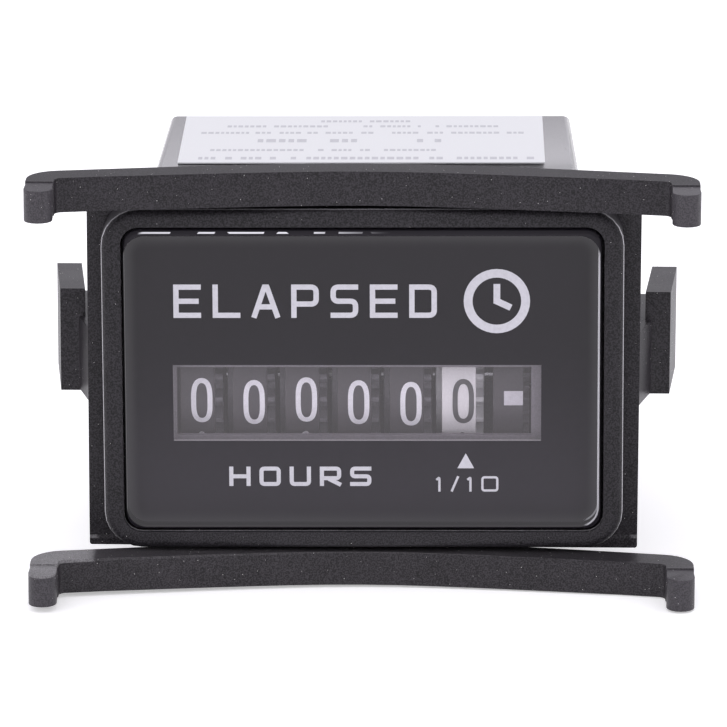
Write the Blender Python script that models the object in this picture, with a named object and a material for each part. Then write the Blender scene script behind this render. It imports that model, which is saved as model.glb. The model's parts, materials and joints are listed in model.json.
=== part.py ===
"""Miniature panel hour meter with its moulded mounting clip.

The origin is the middle of the panel cut-out, in the plane of the bezel's rear
face. +X points right as the dial is read, +Y runs back through the panel and
+Z is up. Lengths are metres.
"""

import math

import bmesh
import bpy

# Clearances
SEAT_GAP = 0.0003
FIT_GAP = 0.0002
RUNNING_GAP = 0.00012
LABEL_GAP = 0.00004

# Bezel, moulded in one with the case
BEZEL_WIDTH = 0.0426
BEZEL_HEIGHT = 0.0287
BEZEL_DEPTH = 0.0042
BEZEL_CORNER = 0.0031
BEZEL_EDGE = 0.0007

# Case behind the bezel
CASE_WIDTH = 0.0370
CASE_HEIGHT = 0.0240
CASE_LENGTH = 0.0413
CASE_WALL = 0.0012
CASE_CORNER = 0.0006
SIDE_DRAFT = math.radians(1.17)
TOP_DRAFT = math.radians(0.25)
LIP_WIDTH = 0.0008
LIP_THICKNESS = 0.0005
GUIDE_RIB_WIDTH = 0.0010
GUIDE_RIB_SPACING = 0.0220

# Ratchet racks in the case sides
RACK_START = 0.0085
RACK_TEETH = 18
RACK_PITCH = 0.0015
RACK_RISE = 0.9
RACK_DEPTH = 0.0005
RACK_LAND = 0.00006
RACK_HEIGHT = 0.0050

# Lens and printed dial
LENS_WIDTH = 0.0390
LENS_HEIGHT = 0.0254
LENS_THICKNESS = 0.0015
LENS_CORNER = 0.0013
LENS_EDGE = 0.00035
LENS_INSET = 0.00015
DIAL_THICKNESS = 0.0003
WINDOW_WIDTH = 0.0302
WINDOW_HEIGHT = 0.00646
WINDOW_X = -0.0005
WINDOW_Z = -0.00241

# Counter frame
FRAME_WALL = 0.0006
FRAME_PLATE = 0.0008
FRAME_MARGIN = 0.0004
APERTURE_LEFT = -0.01537
APERTURE_RIGHT = 0.01380
APERTURE_TOP = 0.00027
APERTURE_BOTTOM = -0.00554
BRIDGE_WALL_X = 0.0114
BRIDGE_WALL_LENGTH = 0.0155

# Number wheels
SHAFT_Z = -0.0026
SHAFT_RADIUS = 0.00055
DRUM_RADIUS = 0.0075
DRUM_WIDTH = 0.0028
DRUM_RIM = 0.0008
DRUM_WEB = 0.0008
DRUM_GAP = 0.00035
DRUM_PITCH = 0.004315
TENTHS_LEFT = 0.00645
HUB_RADIUS = 0.0018
HUB_BOSS = 0.00008
WHEEL_NAMES = (
    "wheel_tenths",
    "wheel_units",
    "wheel_tens",
    "wheel_hundreds",
    "wheel_thousands",
    "wheel_ten_thousands",
)
DRUM_SEGMENTS = 32

# Carry between the wheels
CARRY_TEETH = 20
CARRY_MODULE = 0.000577
CARRY_FACE = 0.00065
CARRY_RIM = 0.0005
CARRY_NOTCHES = 3
CARRY_CLEARANCE = 0.00025
PINION_TEETH = 8
PINION_ANGLE = math.radians(112.7)
PINION_SHAFT_RADIUS = 0.00035

# Teeth of every gear, in modules
TOOTH_ADDENDUM = 0.85
TOOTH_DEDENDUM = 1.25
TOOTH_SLOPE = 0.36

# Running indicator and reduction gears
INDICATOR_WIDTH = 0.0025
INDICATOR_SHIFT = 0.0001
GEAR_MODULE = 0.000325
GEAR_TEETH = 40
GEAR_PINION_TEETH = 8
IDLER_TEETH = 24
GEAR_FACE = 0.0005
GEAR_HUB_RADIUS = 0.00085
REDUCTION_ANGLE = math.radians(40)
IDLER_ANGLE = math.radians(-15)
ROTOR_ANGLE = math.radians(15)
ARBOR_RADIUS = 0.0004

# Stepping motor
ROTOR_RADIUS = 0.0020
ROTOR_LENGTH = 0.0020
ROTOR_HOLE_RADIUS = 0.00245
STATOR_THICKNESS = 0.0008
STATOR_SPACE = 0.0024
STATOR_LENGTH = 0.0138
STATOR_FOOT_HEIGHT = 0.0072
STATOR_ARM_WIDTH = 0.0027
STATOR_ARM_HEIGHT = 0.0088
CORE_WIDTH = 0.0022
BOBBIN_FLANGE = 0.0052
BOBBIN_FLANGE_THICKNESS = 0.0006
BOBBIN_WALL = 0.0004
WINDING_DEPTH = 0.0009
MOTOR_PEG_RADIUS = 0.0007
MOTOR_SLEEVE_WALL = 0.0004
BRIDGE_THICKNESS = 0.0008

# Circuit board and what is soldered to it
BOARD_GAP = 0.0004
BOARD_THICKNESS = 0.0012
BOARD_TO_COVER = 0.0053
SOLDER_GAP = 0.0001
LEAD_RADIUS = 0.00025
CHIP_PLACE = (0.0147, -0.0050)
CHIP_SIZE = (0.0049, 0.0014, 0.0039)
CHIP_PITCH = 0.00127
CHIP_LEG = 0.0010
CAPACITOR_PLACE = (0.0044, -0.0045)
CAPACITOR_RADIUS = 0.0020
CAPACITOR_LENGTH = 0.0058
CRYSTAL_PLACE = (0.0152, 0.0040)
CRYSTAL_RADIUS = 0.0010
CRYSTAL_LENGTH = 0.0060
RESISTOR_PLACE = (0.0052, 0.0058)
RESISTOR_RADIUS = 0.0008
RESISTOR_LENGTH = 0.0036
DIODE_PLACE = (0.0052, 0.0026)
DIODE_RADIUS = 0.0007
DIODE_LENGTH = 0.0030

# Terminals and rear cover
TERMINAL_SPACING = 0.0150
TERMINAL_WIDTH = 0.00635
TERMINAL_THICKNESS = 0.0008
TERMINAL_REACH = 0.0078
TERMINAL_SHOULDER = 0.0008
TERMINAL_TAIL = 0.0020
TERMINAL_HOLE_RADIUS = 0.00085
COVER_THICKNESS = 0.0015
COVER_INSET = 0.0003
COVER_STEP = 0.0005

# Label on the case top
LABEL_WIDTH = 0.0314
LABEL_LENGTH = 0.0182
LABEL_THICKNESS = 0.00010
LABEL_MARGIN = 0.0006
LABEL_X = -0.0005

# Mounting clip: ring round the case
CLIP_GAP = 0.00035
CLIP_TURN = math.radians(0.38)
RING_WIDTH = 0.04546
RING_HEIGHT = 0.0309
RING_DEPTH = 0.0043
RING_SLEEVE = 0.0011
RING_RIM = 0.0009
RING_FLOOR = 0.0012
RING_RIB = 0.0008
RING_CORNER = 0.0002

# Mounting clip: bow springs with their feet
BOW_GAP = 0.0003
BOW_HEIGHT = 0.00285
BOW_FRONT = -0.00393
BOW_THICKNESS = 0.0030
BOW_SLOPE_FRONT = 0.152
BOW_ROUND_FRONT = 0.0073
BOW_SLOPE_REAR = 0.190
BOW_ROUND_REAR = 0.0098
FOOT_SPAN = 0.02714
FOOT_WIDTH = 0.0023
FOOT_TIP = -0.01115
FOOT_STEP_Y = -0.0080
FOOT_STEP = 0.00011
FOOT_CORNER = 0.0028
FOOT_FILLET = 0.0007
POST_WIDTH = 0.0080
CLIP_EDGE = 0.00012

# Mounting clip: side arms with pawls and finger tabs
ARM_BOTTOM = -0.0043
ARM_TOP = 0.0020
ARM_THICKNESS = 0.0016
TAB_START = 0.0084
TAB_LENGTH = 0.0087
TAB_HEIGHT = 0.0088
TAB_INNER = 0.02340
TAB_WIDTH = 0.0021
TAB_FLARE = 0.0008
PAWL_HEIGHT = 0.0040
PAWL_THICKNESS = 0.0016
PAWL_GAP = 0.0002

# Places worked out from the sizes
BEZEL_FRONT = -BEZEL_DEPTH
LENS_FRONT = BEZEL_FRONT + LENS_INSET
DIAL_FRONT = LENS_FRONT + LENS_THICKNESS + SEAT_GAP
LEDGE_Y = DIAL_FRONT + DIAL_THICKNESS + SEAT_GAP
LIP_BACK = LEDGE_Y + LIP_THICKNESS
FRAME_FRONT = LIP_BACK + SEAT_GAP
DRUM_FRONT = FRAME_FRONT + FRAME_WALL + DRUM_GAP
SHAFT_Y = DRUM_FRONT + DRUM_RADIUS
CARRY_DISTANCE = CARRY_MODULE * (CARRY_TEETH + PINION_TEETH) / 2
REDUCTION_DISTANCE = GEAR_MODULE * (GEAR_TEETH + GEAR_PINION_TEETH) / 2
IDLER_DISTANCE = GEAR_MODULE * (GEAR_TEETH + IDLER_TEETH) / 2
ROTOR_DISTANCE = GEAR_MODULE * (IDLER_TEETH + GEAR_PINION_TEETH) / 2


def from_point(start, distance, angle):
    """A point in the (y, z) plane, the angle counted from +Y towards +Z."""
    return (start[0] + distance * math.cos(angle), start[1] + distance * math.sin(angle))


SHAFT = (SHAFT_Y, SHAFT_Z)
PINION_AXIS = from_point(SHAFT, CARRY_DISTANCE, PINION_ANGLE)
REDUCTION_AXIS = from_point(SHAFT, REDUCTION_DISTANCE, REDUCTION_ANGLE)
IDLER_AXIS = from_point(SHAFT, IDLER_DISTANCE, IDLER_ANGLE)
ROTOR_AXIS = from_point(IDLER_AXIS, ROTOR_DISTANCE, ROTOR_ANGLE)
CARRY_SPACE = DRUM_PITCH - DRUM_WIDTH
INDICATOR_LEFT = TENTHS_LEFT + DRUM_PITCH - INDICATOR_SHIFT
GEAR_STEP = GEAR_FACE + SEAT_GAP
FIRST_GEAR_X = INDICATOR_LEFT + INDICATOR_WIDTH
SECOND_GEAR_X = FIRST_GEAR_X + GEAR_STEP
THIRD_GEAR_X = SECOND_GEAR_X + GEAR_STEP
RIGHT_PLATE_X = THIRD_GEAR_X + GEAR_STEP
LEFT_DRUM_X = TENTHS_LEFT - (len(WHEEL_NAMES) - 1) * DRUM_PITCH
LEFT_PLATE_X = LEFT_DRUM_X - CARRY_RIM - FIT_GAP - FRAME_PLATE
BACK_WALL_Y = SHAFT_Y + DRUM_RADIUS + 2 * DRUM_GAP
BRIDGE_WALL_END = BACK_WALL_Y + BRIDGE_WALL_LENGTH
STATOR_X = BRIDGE_WALL_X - STATOR_SPACE - STATOR_THICKNESS
STATOR_Y = BACK_WALL_Y + FRAME_PLATE + SEAT_GAP


# Outlines

def arc(centre, radius, start, end, steps):
    """Points along an arc, both ends included, angles in radians."""
    turns = [start + (end - start) * i / steps for i in range(steps + 1)]
    return [(centre[0] + radius * math.cos(t), centre[1] + radius * math.sin(t)) for t in turns]


def circle(radius, segments, centre=(0, 0)):
    return arc(centre, radius, 0, math.tau * (segments - 1) / segments, segments - 1)


def rectangle(left, right, bottom, top):
    return [(left, bottom), (right, bottom), (right, top), (left, top)]


def rounded_rectangle(width, height, radius, steps=5):
    across = width / 2 - radius
    up = height / 2 - radius
    corners = ((across, up, 0), (-across, up, 1), (-across, -up, 2), (across, -up, 3))
    points = []
    for x, z, quarter in corners:
        start = quarter * math.pi / 2
        points += arc((x, z), radius, start, start + math.pi / 2, steps)
    return points


def gear_outline(teeth, module, tooth_angle):
    """Straight-sided teeth with one tooth centred on tooth_angle."""
    pitch_radius = teeth * module / 2
    root = pitch_radius - TOOTH_DEDENDUM * module
    tip = pitch_radius + TOOTH_ADDENDUM * module
    pitch_half = (math.pi * module / 2 - RUNNING_GAP) / 2 / pitch_radius
    slope = TOOTH_SLOPE * module / pitch_radius
    points = []
    for i in range(teeth):
        middle = tooth_angle + math.tau * i / teeth
        for radius, half in ((root, -pitch_half - slope), (tip, -pitch_half + slope),
                             (tip, pitch_half - slope), (root, pitch_half + slope)):
            points.append((radius * math.cos(middle + half), radius * math.sin(middle + half)))
    return points


def mirrored(points):
    """The same outline on the other side of the first coordinate's zero."""
    return [(-a, b) for a, b in reversed(points)]


# Solids

def link(name, bm):
    bmesh.ops.recalc_face_normals(bm, faces=bm.faces)
    mesh = bpy.data.meshes.new(name)
    bm.to_mesh(mesh)
    bm.free()
    solid = bpy.data.objects.new(name, mesh)
    bpy.context.scene.collection.objects.link(solid)
    return solid


def loft(name, loops, ring=False):
    """A closed solid through loops of equally many points, capped or joined end to start."""
    bm = bmesh.new()
    rows = [[bm.verts.new(point) for point in loop] for loop in loops]
    pairs = list(zip(rows, rows[1:]))
    if ring:
        pairs.append((rows[-1], rows[0]))
    for near, far in pairs:
        count = len(near)
        for i in range(count):
            after = (i + 1) % count
            bm.faces.new((near[i], near[after], far[after], far[i]))
    if not ring:
        bm.faces.new(rows[0])
        bm.faces.new(rows[-1])
    return link(name, bm)


def prism_x(name, outline, start, end):
    """An outline of (y, z) points run along X."""
    return loft(name, [[(x, y, z) for y, z in outline] for x in (start, end)])


def prism_y(name, outline, start, end):
    """An outline of (x, z) points run along Y."""
    return loft(name, [[(x, y, z) for x, z in outline] for y in (start, end)])


def prism_z(name, outline, start, end):
    """An outline of (x, y) points run along Z."""
    return loft(name, [[(x, y, z) for x, y in outline] for z in (start, end)])


def turned_x(name, profile, segments):
    """A closed profile of (x, radius) points turned about the X axis."""
    loops = []
    for i in range(segments):
        turn = math.tau * i / segments
        loops.append([(x, r * math.cos(turn), r * math.sin(turn)) for x, r in profile])
    return loft(name, loops, ring=True)


def rod_x(name, radius, start, end, centre=(0, 0), segments=12):
    return prism_x(name, circle(radius, segments, centre), start, end)


def box(name, x, y, z):
    return prism_z(name, rectangle(x[0], x[1], y[0], y[1]), z[0], z[1])


def combine(solid, tool, operation):
    """Joins or cuts solid with tool and removes the tool."""
    step = solid.modifiers.new(tool.name, "BOOLEAN")
    step.operation = operation
    step.solver = "EXACT"
    step.object = tool
    depsgraph = bpy.context.evaluated_depsgraph_get()
    result = bpy.data.meshes.new_from_object(solid.evaluated_get(depsgraph))
    solid.modifiers.clear()
    solid.data = result
    bpy.data.objects.remove(tool)
    return solid


def join(solid, *tools):
    for tool in tools:
        combine(solid, tool, "UNION")
    return solid


def cut(solid, *tools):
    for tool in tools:
        combine(solid, tool, "DIFFERENCE")
    return solid


def material(name, colour, roughness, metallic=0.0, alpha=1.0):
    surface = bpy.data.materials.new(name)
    surface.use_nodes = True
    shader = surface.node_tree.nodes["Principled BSDF"]
    shader.inputs["Base Color"].default_value = (*colour, 1.0)
    shader.inputs["Roughness"].default_value = roughness
    shader.inputs["Metallic"].default_value = metallic
    shader.inputs["Alpha"].default_value = alpha
    return surface


def finish(solid, name, surface, origin=None, smooth=False):
    """Names a piece, gives it its material and puts its origin on its axis."""
    solid.name = name
    solid.data.name = name
    solid.data.materials.clear()
    solid.data.materials.append(surface)
    if origin is not None:
        solid.location = origin
    if smooth:
        solid.data.shade_smooth()
        solid.data.set_sharp_from_angle(angle=math.radians(35))
    return solid


# Case

def case_half_width(y):
    return CASE_WIDTH / 2 - y * math.tan(SIDE_DRAFT)


def case_half_height(y):
    return CASE_HEIGHT / 2 - y * math.tan(TOP_DRAFT)


def case_section(y, inset, radius):
    """The case's rounded section at y, drawn in by inset all round."""
    width = 2 * (case_half_width(y) - inset)
    height = 2 * (case_half_height(y) - inset)
    return [(x, y, z) for x, z in rounded_rectangle(width, height, radius, 3)]


def bezel_block():
    loops = []
    for step in range(4):
        turn = step * math.pi / 6
        inset = BEZEL_EDGE * (1 - math.sin(turn))
        y = BEZEL_FRONT + BEZEL_EDGE * (1 - math.cos(turn))
        outline = rounded_rectangle(
            BEZEL_WIDTH - 2 * inset, BEZEL_HEIGHT - 2 * inset, BEZEL_CORNER - inset, 6
        )
        loops.append([(x, y, z) for x, z in outline])
    loops.append([(x, 0, z) for x, _, z in loops[-1]])
    return loft("bezel", loops)


def rack_cutter(side):
    """A saw-toothed bar whose teeth leave the rack in one side of the case."""
    outline = []
    for i in range(RACK_TEETH):
        y = RACK_START + i * RACK_PITCH
        outline.append((case_half_width(y) - RACK_LAND, y))
        foot = y + RACK_RISE * RACK_PITCH
        outline.append((case_half_width(foot) - RACK_DEPTH, foot))
    end = RACK_START + RACK_TEETH * RACK_PITCH
    outline += [(case_half_width(end) - RACK_LAND, end), (CASE_WIDTH / 2 + CASE_WALL, end)]
    outline.append((CASE_WIDTH / 2 + CASE_WALL, RACK_START))
    if side < 0:
        outline = mirrored(outline)
    return prism_z("rack", outline, -RACK_HEIGHT / 2, RACK_HEIGHT / 2)


def case_body(surface):
    body = bezel_block()
    overlap = BEZEL_DEPTH / 4
    tube = loft("tube", [case_section(y, 0, CASE_CORNER) for y in (-overlap, CASE_LENGTH)])
    join(body, tube)
    recess = rounded_rectangle(LENS_WIDTH + 2 * FIT_GAP, LENS_HEIGHT + 2 * FIT_GAP, LENS_CORNER + FIT_GAP)
    cut(body, prism_y("recess", recess, BEZEL_FRONT - SEAT_GAP, LEDGE_Y))
    inner_corner = CASE_CORNER / 2
    mouth_y = cover_front() - SEAT_GAP
    hollow = loft("hollow", [case_section(y, CASE_WALL, inner_corner) for y in (LIP_BACK, mouth_y)])
    ends = (mouth_y - SEAT_GAP, CASE_LENGTH + CASE_WALL)
    mouth = loft("mouth", [case_section(y, CASE_WALL - COVER_STEP, inner_corner) for y in ends])
    ends = (LEDGE_Y - SEAT_GAP, LIP_BACK + SEAT_GAP)
    opening = loft("opening", [case_section(y, CASE_WALL + LIP_WIDTH, inner_corner) for y in ends])
    cut(body, hollow, mouth, opening)
    for side in (-1, 1):
        cut(body, rack_cutter(side))
        for top in (-1, 1):
            join(body, guide_rib(side, top))
    return finish(body, "case_body", surface)


def guide_rib(side, top):
    """A rail inside the case that steadies the counter frame."""
    middle = side * GUIDE_RIB_SPACING / 2
    x = (middle - GUIDE_RIB_WIDTH / 2, middle + GUIDE_RIB_WIDTH / 2)
    inner = frame_half_height() + SEAT_GAP
    outer = case_half_height(BRIDGE_WALL_END) - CASE_WALL / 2
    z = sorted((top * inner, top * outer))
    return box("rib", x, (LIP_BACK - LIP_THICKNESS / 2, BRIDGE_WALL_END), z)


def frame_half_height():
    return case_half_height(BRIDGE_WALL_END) - CASE_WALL - FRAME_MARGIN


def cover_front():
    return CASE_LENGTH - COVER_INSET - COVER_THICKNESS


def rear_cover(surface):
    inset = CASE_WALL - COVER_STEP + FIT_GAP
    ends = (cover_front(), cover_front() + COVER_THICKNESS)
    cover = loft("cover", [case_section(y, inset, CASE_CORNER / 2) for y in ends])
    half = TERMINAL_THICKNESS / 2
    for side in (-1, 1):
        middle = side * TERMINAL_SPACING / 2
        width = TERMINAL_WIDTH / 2
        collar = box(
            "collar",
            (middle - width - 2 * COVER_STEP, middle + width + 2 * COVER_STEP),
            (cover_front() + COVER_THICKNESS / 2, CASE_LENGTH + COVER_STEP),
            (-half - 2 * COVER_STEP, half + 2 * COVER_STEP),
        )
        join(cover, collar)
        slot = box(
            "slot",
            (middle - width - FIT_GAP, middle + width + FIT_GAP),
            (cover_front() - SEAT_GAP, CASE_LENGTH + 2 * COVER_STEP),
            (-half - FIT_GAP, half + FIT_GAP),
        )
        cut(cover, slot)
    return finish(cover, "rear_cover", surface)


# Lens, dial and label

def lens(surface):
    loops = []
    steps = ((0, LENS_EDGE), (LENS_EDGE / 3, LENS_EDGE / 3), (LENS_EDGE, 0), (LENS_THICKNESS, 0))
    for depth, inset in steps:
        outline = rounded_rectangle(LENS_WIDTH - 2 * inset, LENS_HEIGHT - 2 * inset, LENS_CORNER - inset)
        loops.append([(x, LENS_FRONT + depth, z) for x, z in outline])
    return finish(loft("pane", loops), "lens", surface)


def dial_plate(surface):
    outline = rounded_rectangle(LENS_WIDTH, LENS_HEIGHT, LENS_CORNER)
    plate = prism_y("plate", outline, DIAL_FRONT, DIAL_FRONT + DIAL_THICKNESS)
    window = rectangle(
        WINDOW_X - WINDOW_WIDTH / 2,
        WINDOW_X + WINDOW_WIDTH / 2,
        WINDOW_Z - WINDOW_HEIGHT / 2,
        WINDOW_Z + WINDOW_HEIGHT / 2,
    )
    cut(plate, prism_y("window", window, DIAL_FRONT - SEAT_GAP, DIAL_FRONT + DIAL_THICKNESS + SEAT_GAP))
    return finish(plate, "dial_plate", surface)


def label(surface):
    rear = CASE_LENGTH - LABEL_MARGIN
    loops = []
    for y in (rear - LABEL_LENGTH, rear):
        low = case_half_height(y) + LABEL_GAP
        high = low + LABEL_THICKNESS
        left = LABEL_X - LABEL_WIDTH / 2
        right = LABEL_X + LABEL_WIDTH / 2
        loops.append([(left, y, low), (right, y, low), (right, y, high), (left, y, high)])
    return finish(loft("sheet", loops), "rating_label", surface)


# Counter frame

def bearing(axis, radius, start, end):
    return rod_x("bearing", radius + RUNNING_GAP, start, end, axis)


def motor_pegs():
    """Centres of the two pegs that carry the motor, as (y, z)."""
    reach = STATOR_LENGTH / 2 - MOTOR_PEG_RADIUS - MOTOR_SLEEVE_WALL
    middle = STATOR_Y + STATOR_LENGTH / 2
    height = stator_bottom() + STATOR_FOOT_HEIGHT / 2
    return [(middle - reach, height), (middle + reach, height)]


def stator_bottom():
    return ROTOR_AXIS[1] - STATOR_FOOT_HEIGHT / 2


def counter_frame(surface):
    top = frame_half_height()
    right = RIGHT_PLATE_X + FRAME_PLATE
    height = (-top, top)
    frame = box("front", (LEFT_PLATE_X, right), (FRAME_FRONT, FRAME_FRONT + FRAME_WALL), height)
    bridge_right = BRIDGE_WALL_X + FRAME_PLATE
    back = (BACK_WALL_Y, BACK_WALL_Y + FRAME_PLATE)
    inside = FRAME_FRONT + FRAME_WALL / 2
    join(
        frame,
        box("left", (LEFT_PLATE_X, LEFT_PLATE_X + FRAME_PLATE), (inside, back[1]), height),
        box("right", (RIGHT_PLATE_X, right), (inside, BRIDGE_WALL_END), height),
        box("back", (LEFT_PLATE_X + FRAME_PLATE / 2, bridge_right), back, height),
        box("bridge", (BRIDGE_WALL_X, bridge_right), (back[0] + FRAME_PLATE / 2, BRIDGE_WALL_END), height),
        box(
            "rail",
            (BRIDGE_WALL_X + FRAME_PLATE / 2, right - FRAME_PLATE / 2),
            (BRIDGE_WALL_END - FRAME_PLATE, BRIDGE_WALL_END),
            (height[0] + FRAME_PLATE / 2, height[1] - FRAME_PLATE / 2),
        ),
    )
    aperture = rectangle(APERTURE_LEFT, APERTURE_RIGHT, APERTURE_BOTTOM, APERTURE_TOP)
    cut(frame, prism_y("aperture", aperture, FRAME_FRONT - SEAT_GAP, FRAME_FRONT + FRAME_WALL + SEAT_GAP))
    for y, z in motor_pegs():
        start = STATOR_X - SEAT_GAP - 1.5 * BRIDGE_THICKNESS - STATOR_SPACE
        join(frame, rod_x("peg", MOTOR_PEG_RADIUS, start, bridge_right - FRAME_PLATE / 2, (y, z)))
    beyond = right + SEAT_GAP
    before = LEFT_PLATE_X - SEAT_GAP
    cut(
        frame,
        bearing(SHAFT, SHAFT_RADIUS, before, beyond),
        bearing(PINION_AXIS, PINION_SHAFT_RADIUS, before, beyond),
        bearing(REDUCTION_AXIS, ARBOR_RADIUS, RIGHT_PLATE_X - SEAT_GAP, beyond),
        bearing(IDLER_AXIS, ARBOR_RADIUS, BRIDGE_WALL_X - SEAT_GAP, beyond),
        bearing(ROTOR_AXIS, ARBOR_RADIUS, BRIDGE_WALL_X - SEAT_GAP, beyond),
    )
    return finish(frame, "counter_frame", surface)


# Number wheels and their carry

def carry_rim_outline():
    """The locking disc, with notches that leave the carry teeth."""
    rim = CARRY_DISTANCE - carry_tip(PINION_TEETH) - CARRY_CLEARANCE
    notch = math.pi / CARRY_TEETH
    floor = rim - 1.2 * CARRY_MODULE
    away = PINION_ANGLE + math.pi
    points = []
    for i in range(CARRY_NOTCHES):
        middle = away + (i - (CARRY_NOTCHES - 1) / 2) * math.tau / CARRY_TEETH
        for radius, turn in ((rim, -notch / 2), (floor, -notch / 3), (floor, notch / 3), (rim, notch / 2)):
            points.append((radius * math.cos(middle + turn), radius * math.sin(middle + turn)))
    half = (CARRY_NOTCHES - 0.5) * notch
    points += arc((0, 0), rim, away + half, away + math.tau - half, 24)[1:-1]
    return points


def carry_tip(teeth):
    return CARRY_MODULE * (teeth / 2 + TOOTH_ADDENDUM)


def drum_profile(width, left_hub, right_hub):
    """The cup of a drum: hub, web at the right face and rim, as (x, radius).

    The right end of the hub is given as its own (x, radius) points.
    """
    bore = SHAFT_RADIUS + RUNNING_GAP
    return [
        (-left_hub, bore),
        (-left_hub, HUB_RADIUS),
        (width - DRUM_WEB, HUB_RADIUS),
        (width - DRUM_WEB, DRUM_RADIUS - DRUM_RIM),
        (0, DRUM_RADIUS - DRUM_RIM),
        (0, DRUM_RADIUS),
        (width, DRUM_RADIUS),
        (width, HUB_RADIUS),
        *right_hub,
        (right_hub[-1][0], bore),
    ]


def toothed_disc(outline, bore, start, end):
    disc = prism_x("disc", outline, start, end)
    return cut(disc, rod_x("bore", bore, start - SEAT_GAP, end + SEAT_GAP, segments=16))


def number_wheel_mesh():
    """A drum with its carry disc on the left and its twenty-tooth gear on the right."""
    right_hub = [(DRUM_WIDTH + CARRY_FACE + HUB_BOSS, HUB_RADIUS)]
    wheel = turned_x("wheel", drum_profile(DRUM_WIDTH, CARRY_RIM + HUB_BOSS, right_hub), DRUM_SEGMENTS)
    inside_hub = (HUB_RADIUS + SHAFT_RADIUS) / 2
    join(
        wheel,
        toothed_disc(
            gear_outline(CARRY_TEETH, CARRY_MODULE, PINION_ANGLE),
            inside_hub,
            DRUM_WIDTH - DRUM_WEB / 2,
            DRUM_WIDTH + CARRY_FACE,
        ),
        toothed_disc(carry_rim_outline(), inside_hub, -CARRY_RIM, CARRY_RIM / 2),
    )
    return wheel


def number_wheels(black, white):
    wheels = []
    for i, name in enumerate(WHEEL_NAMES):
        wheel = number_wheel_mesh()
        place = (TENTHS_LEFT - i * DRUM_PITCH, SHAFT_Y, SHAFT_Z)
        wheels.append(finish(wheel, name, black if i else white, place, smooth=True))
    return wheels


def carry_pinions(surface):
    """One pinion in each space between two wheels; every other tooth is cut short."""
    length = CARRY_SPACE - 2 * RUNNING_GAP
    half_way = CARRY_FACE + RUNNING_GAP
    gap_angle = PINION_ANGLE + math.pi + math.pi / PINION_TEETH
    for i in range(len(WHEEL_NAMES) - 1):
        pinion = prism_x("pinion", gear_outline(PINION_TEETH, CARRY_MODULE, gap_angle), 0, half_way)
        long_teeth = gear_outline(PINION_TEETH, CARRY_MODULE, gap_angle)
        kept = []
        for tooth in range(PINION_TEETH):
            corners = long_teeth[4 * tooth:4 * tooth + 4]
            if tooth % 2:
                corners = [corners[0], corners[3]]
            kept += corners
        join(pinion, prism_x("long", kept, half_way / 2, length))
        cut(pinion, rod_x("bore", PINION_SHAFT_RADIUS + RUNNING_GAP, -SEAT_GAP, length + SEAT_GAP))
        left = TENTHS_LEFT - i * DRUM_PITCH - CARRY_SPACE + RUNNING_GAP
        finish(pinion, f"carry_pinion_{i + 1}", surface, (left, *PINION_AXIS))


def wheel_shaft(surface):
    start = LEFT_PLATE_X + RUNNING_GAP
    end = RIGHT_PLATE_X + FRAME_PLATE - RUNNING_GAP
    rod = rod_x("rod", SHAFT_RADIUS, start, end, segments=16)
    finish(rod, "wheel_shaft", surface, (0, *SHAFT), smooth=True)
    rod = rod_x("rod", PINION_SHAFT_RADIUS, start, end)
    finish(rod, "pinion_shaft", surface, (0, *PINION_AXIS), smooth=True)


# Running indicator and gears

def indicator_wheel(surface):
    """A drum with a large gear on its right face and a small one beyond."""
    gear_end = INDICATOR_WIDTH + GEAR_FACE
    pinion_start = INDICATOR_WIDTH + GEAR_STEP
    pinion_end = pinion_start + GEAR_FACE
    hub_end = pinion_end + HUB_BOSS
    right_hub = [
        (gear_end - GEAR_FACE / 4, HUB_RADIUS),
        (gear_end - GEAR_FACE / 4, GEAR_HUB_RADIUS),
        (hub_end, GEAR_HUB_RADIUS),
    ]
    wheel = turned_x("wheel", drum_profile(INDICATOR_WIDTH, 0, right_hub), DRUM_SEGMENTS)
    gear = gear_outline(GEAR_TEETH, GEAR_MODULE, IDLER_ANGLE)
    pinion = gear_outline(GEAR_PINION_TEETH, GEAR_MODULE, REDUCTION_ANGLE)
    inside_hub = (SHAFT_RADIUS + RUNNING_GAP + GEAR_HUB_RADIUS) / 2
    join(
        wheel,
        toothed_disc(gear, inside_hub, INDICATOR_WIDTH - DRUM_WEB / 2, gear_end),
        toothed_disc(pinion, inside_hub, pinion_start, pinion_end),
    )
    return finish(wheel, "indicator_wheel", surface, (INDICATOR_LEFT, *SHAFT), smooth=True)


def shaft_gear(surface):
    """The last gear of the train, fast on the shaft with the tenths wheel."""
    tooth = REDUCTION_ANGLE
    outline = gear_outline(GEAR_TEETH, GEAR_MODULE, tooth)
    gear = prism_x("gear", outline, 0, GEAR_FACE)
    cut(gear, rod_x("bore", SHAFT_RADIUS + RUNNING_GAP, -SEAT_GAP, GEAR_FACE + SEAT_GAP, segments=16))
    finish(gear, "shaft_gear", surface, (THIRD_GEAR_X, *SHAFT))


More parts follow.
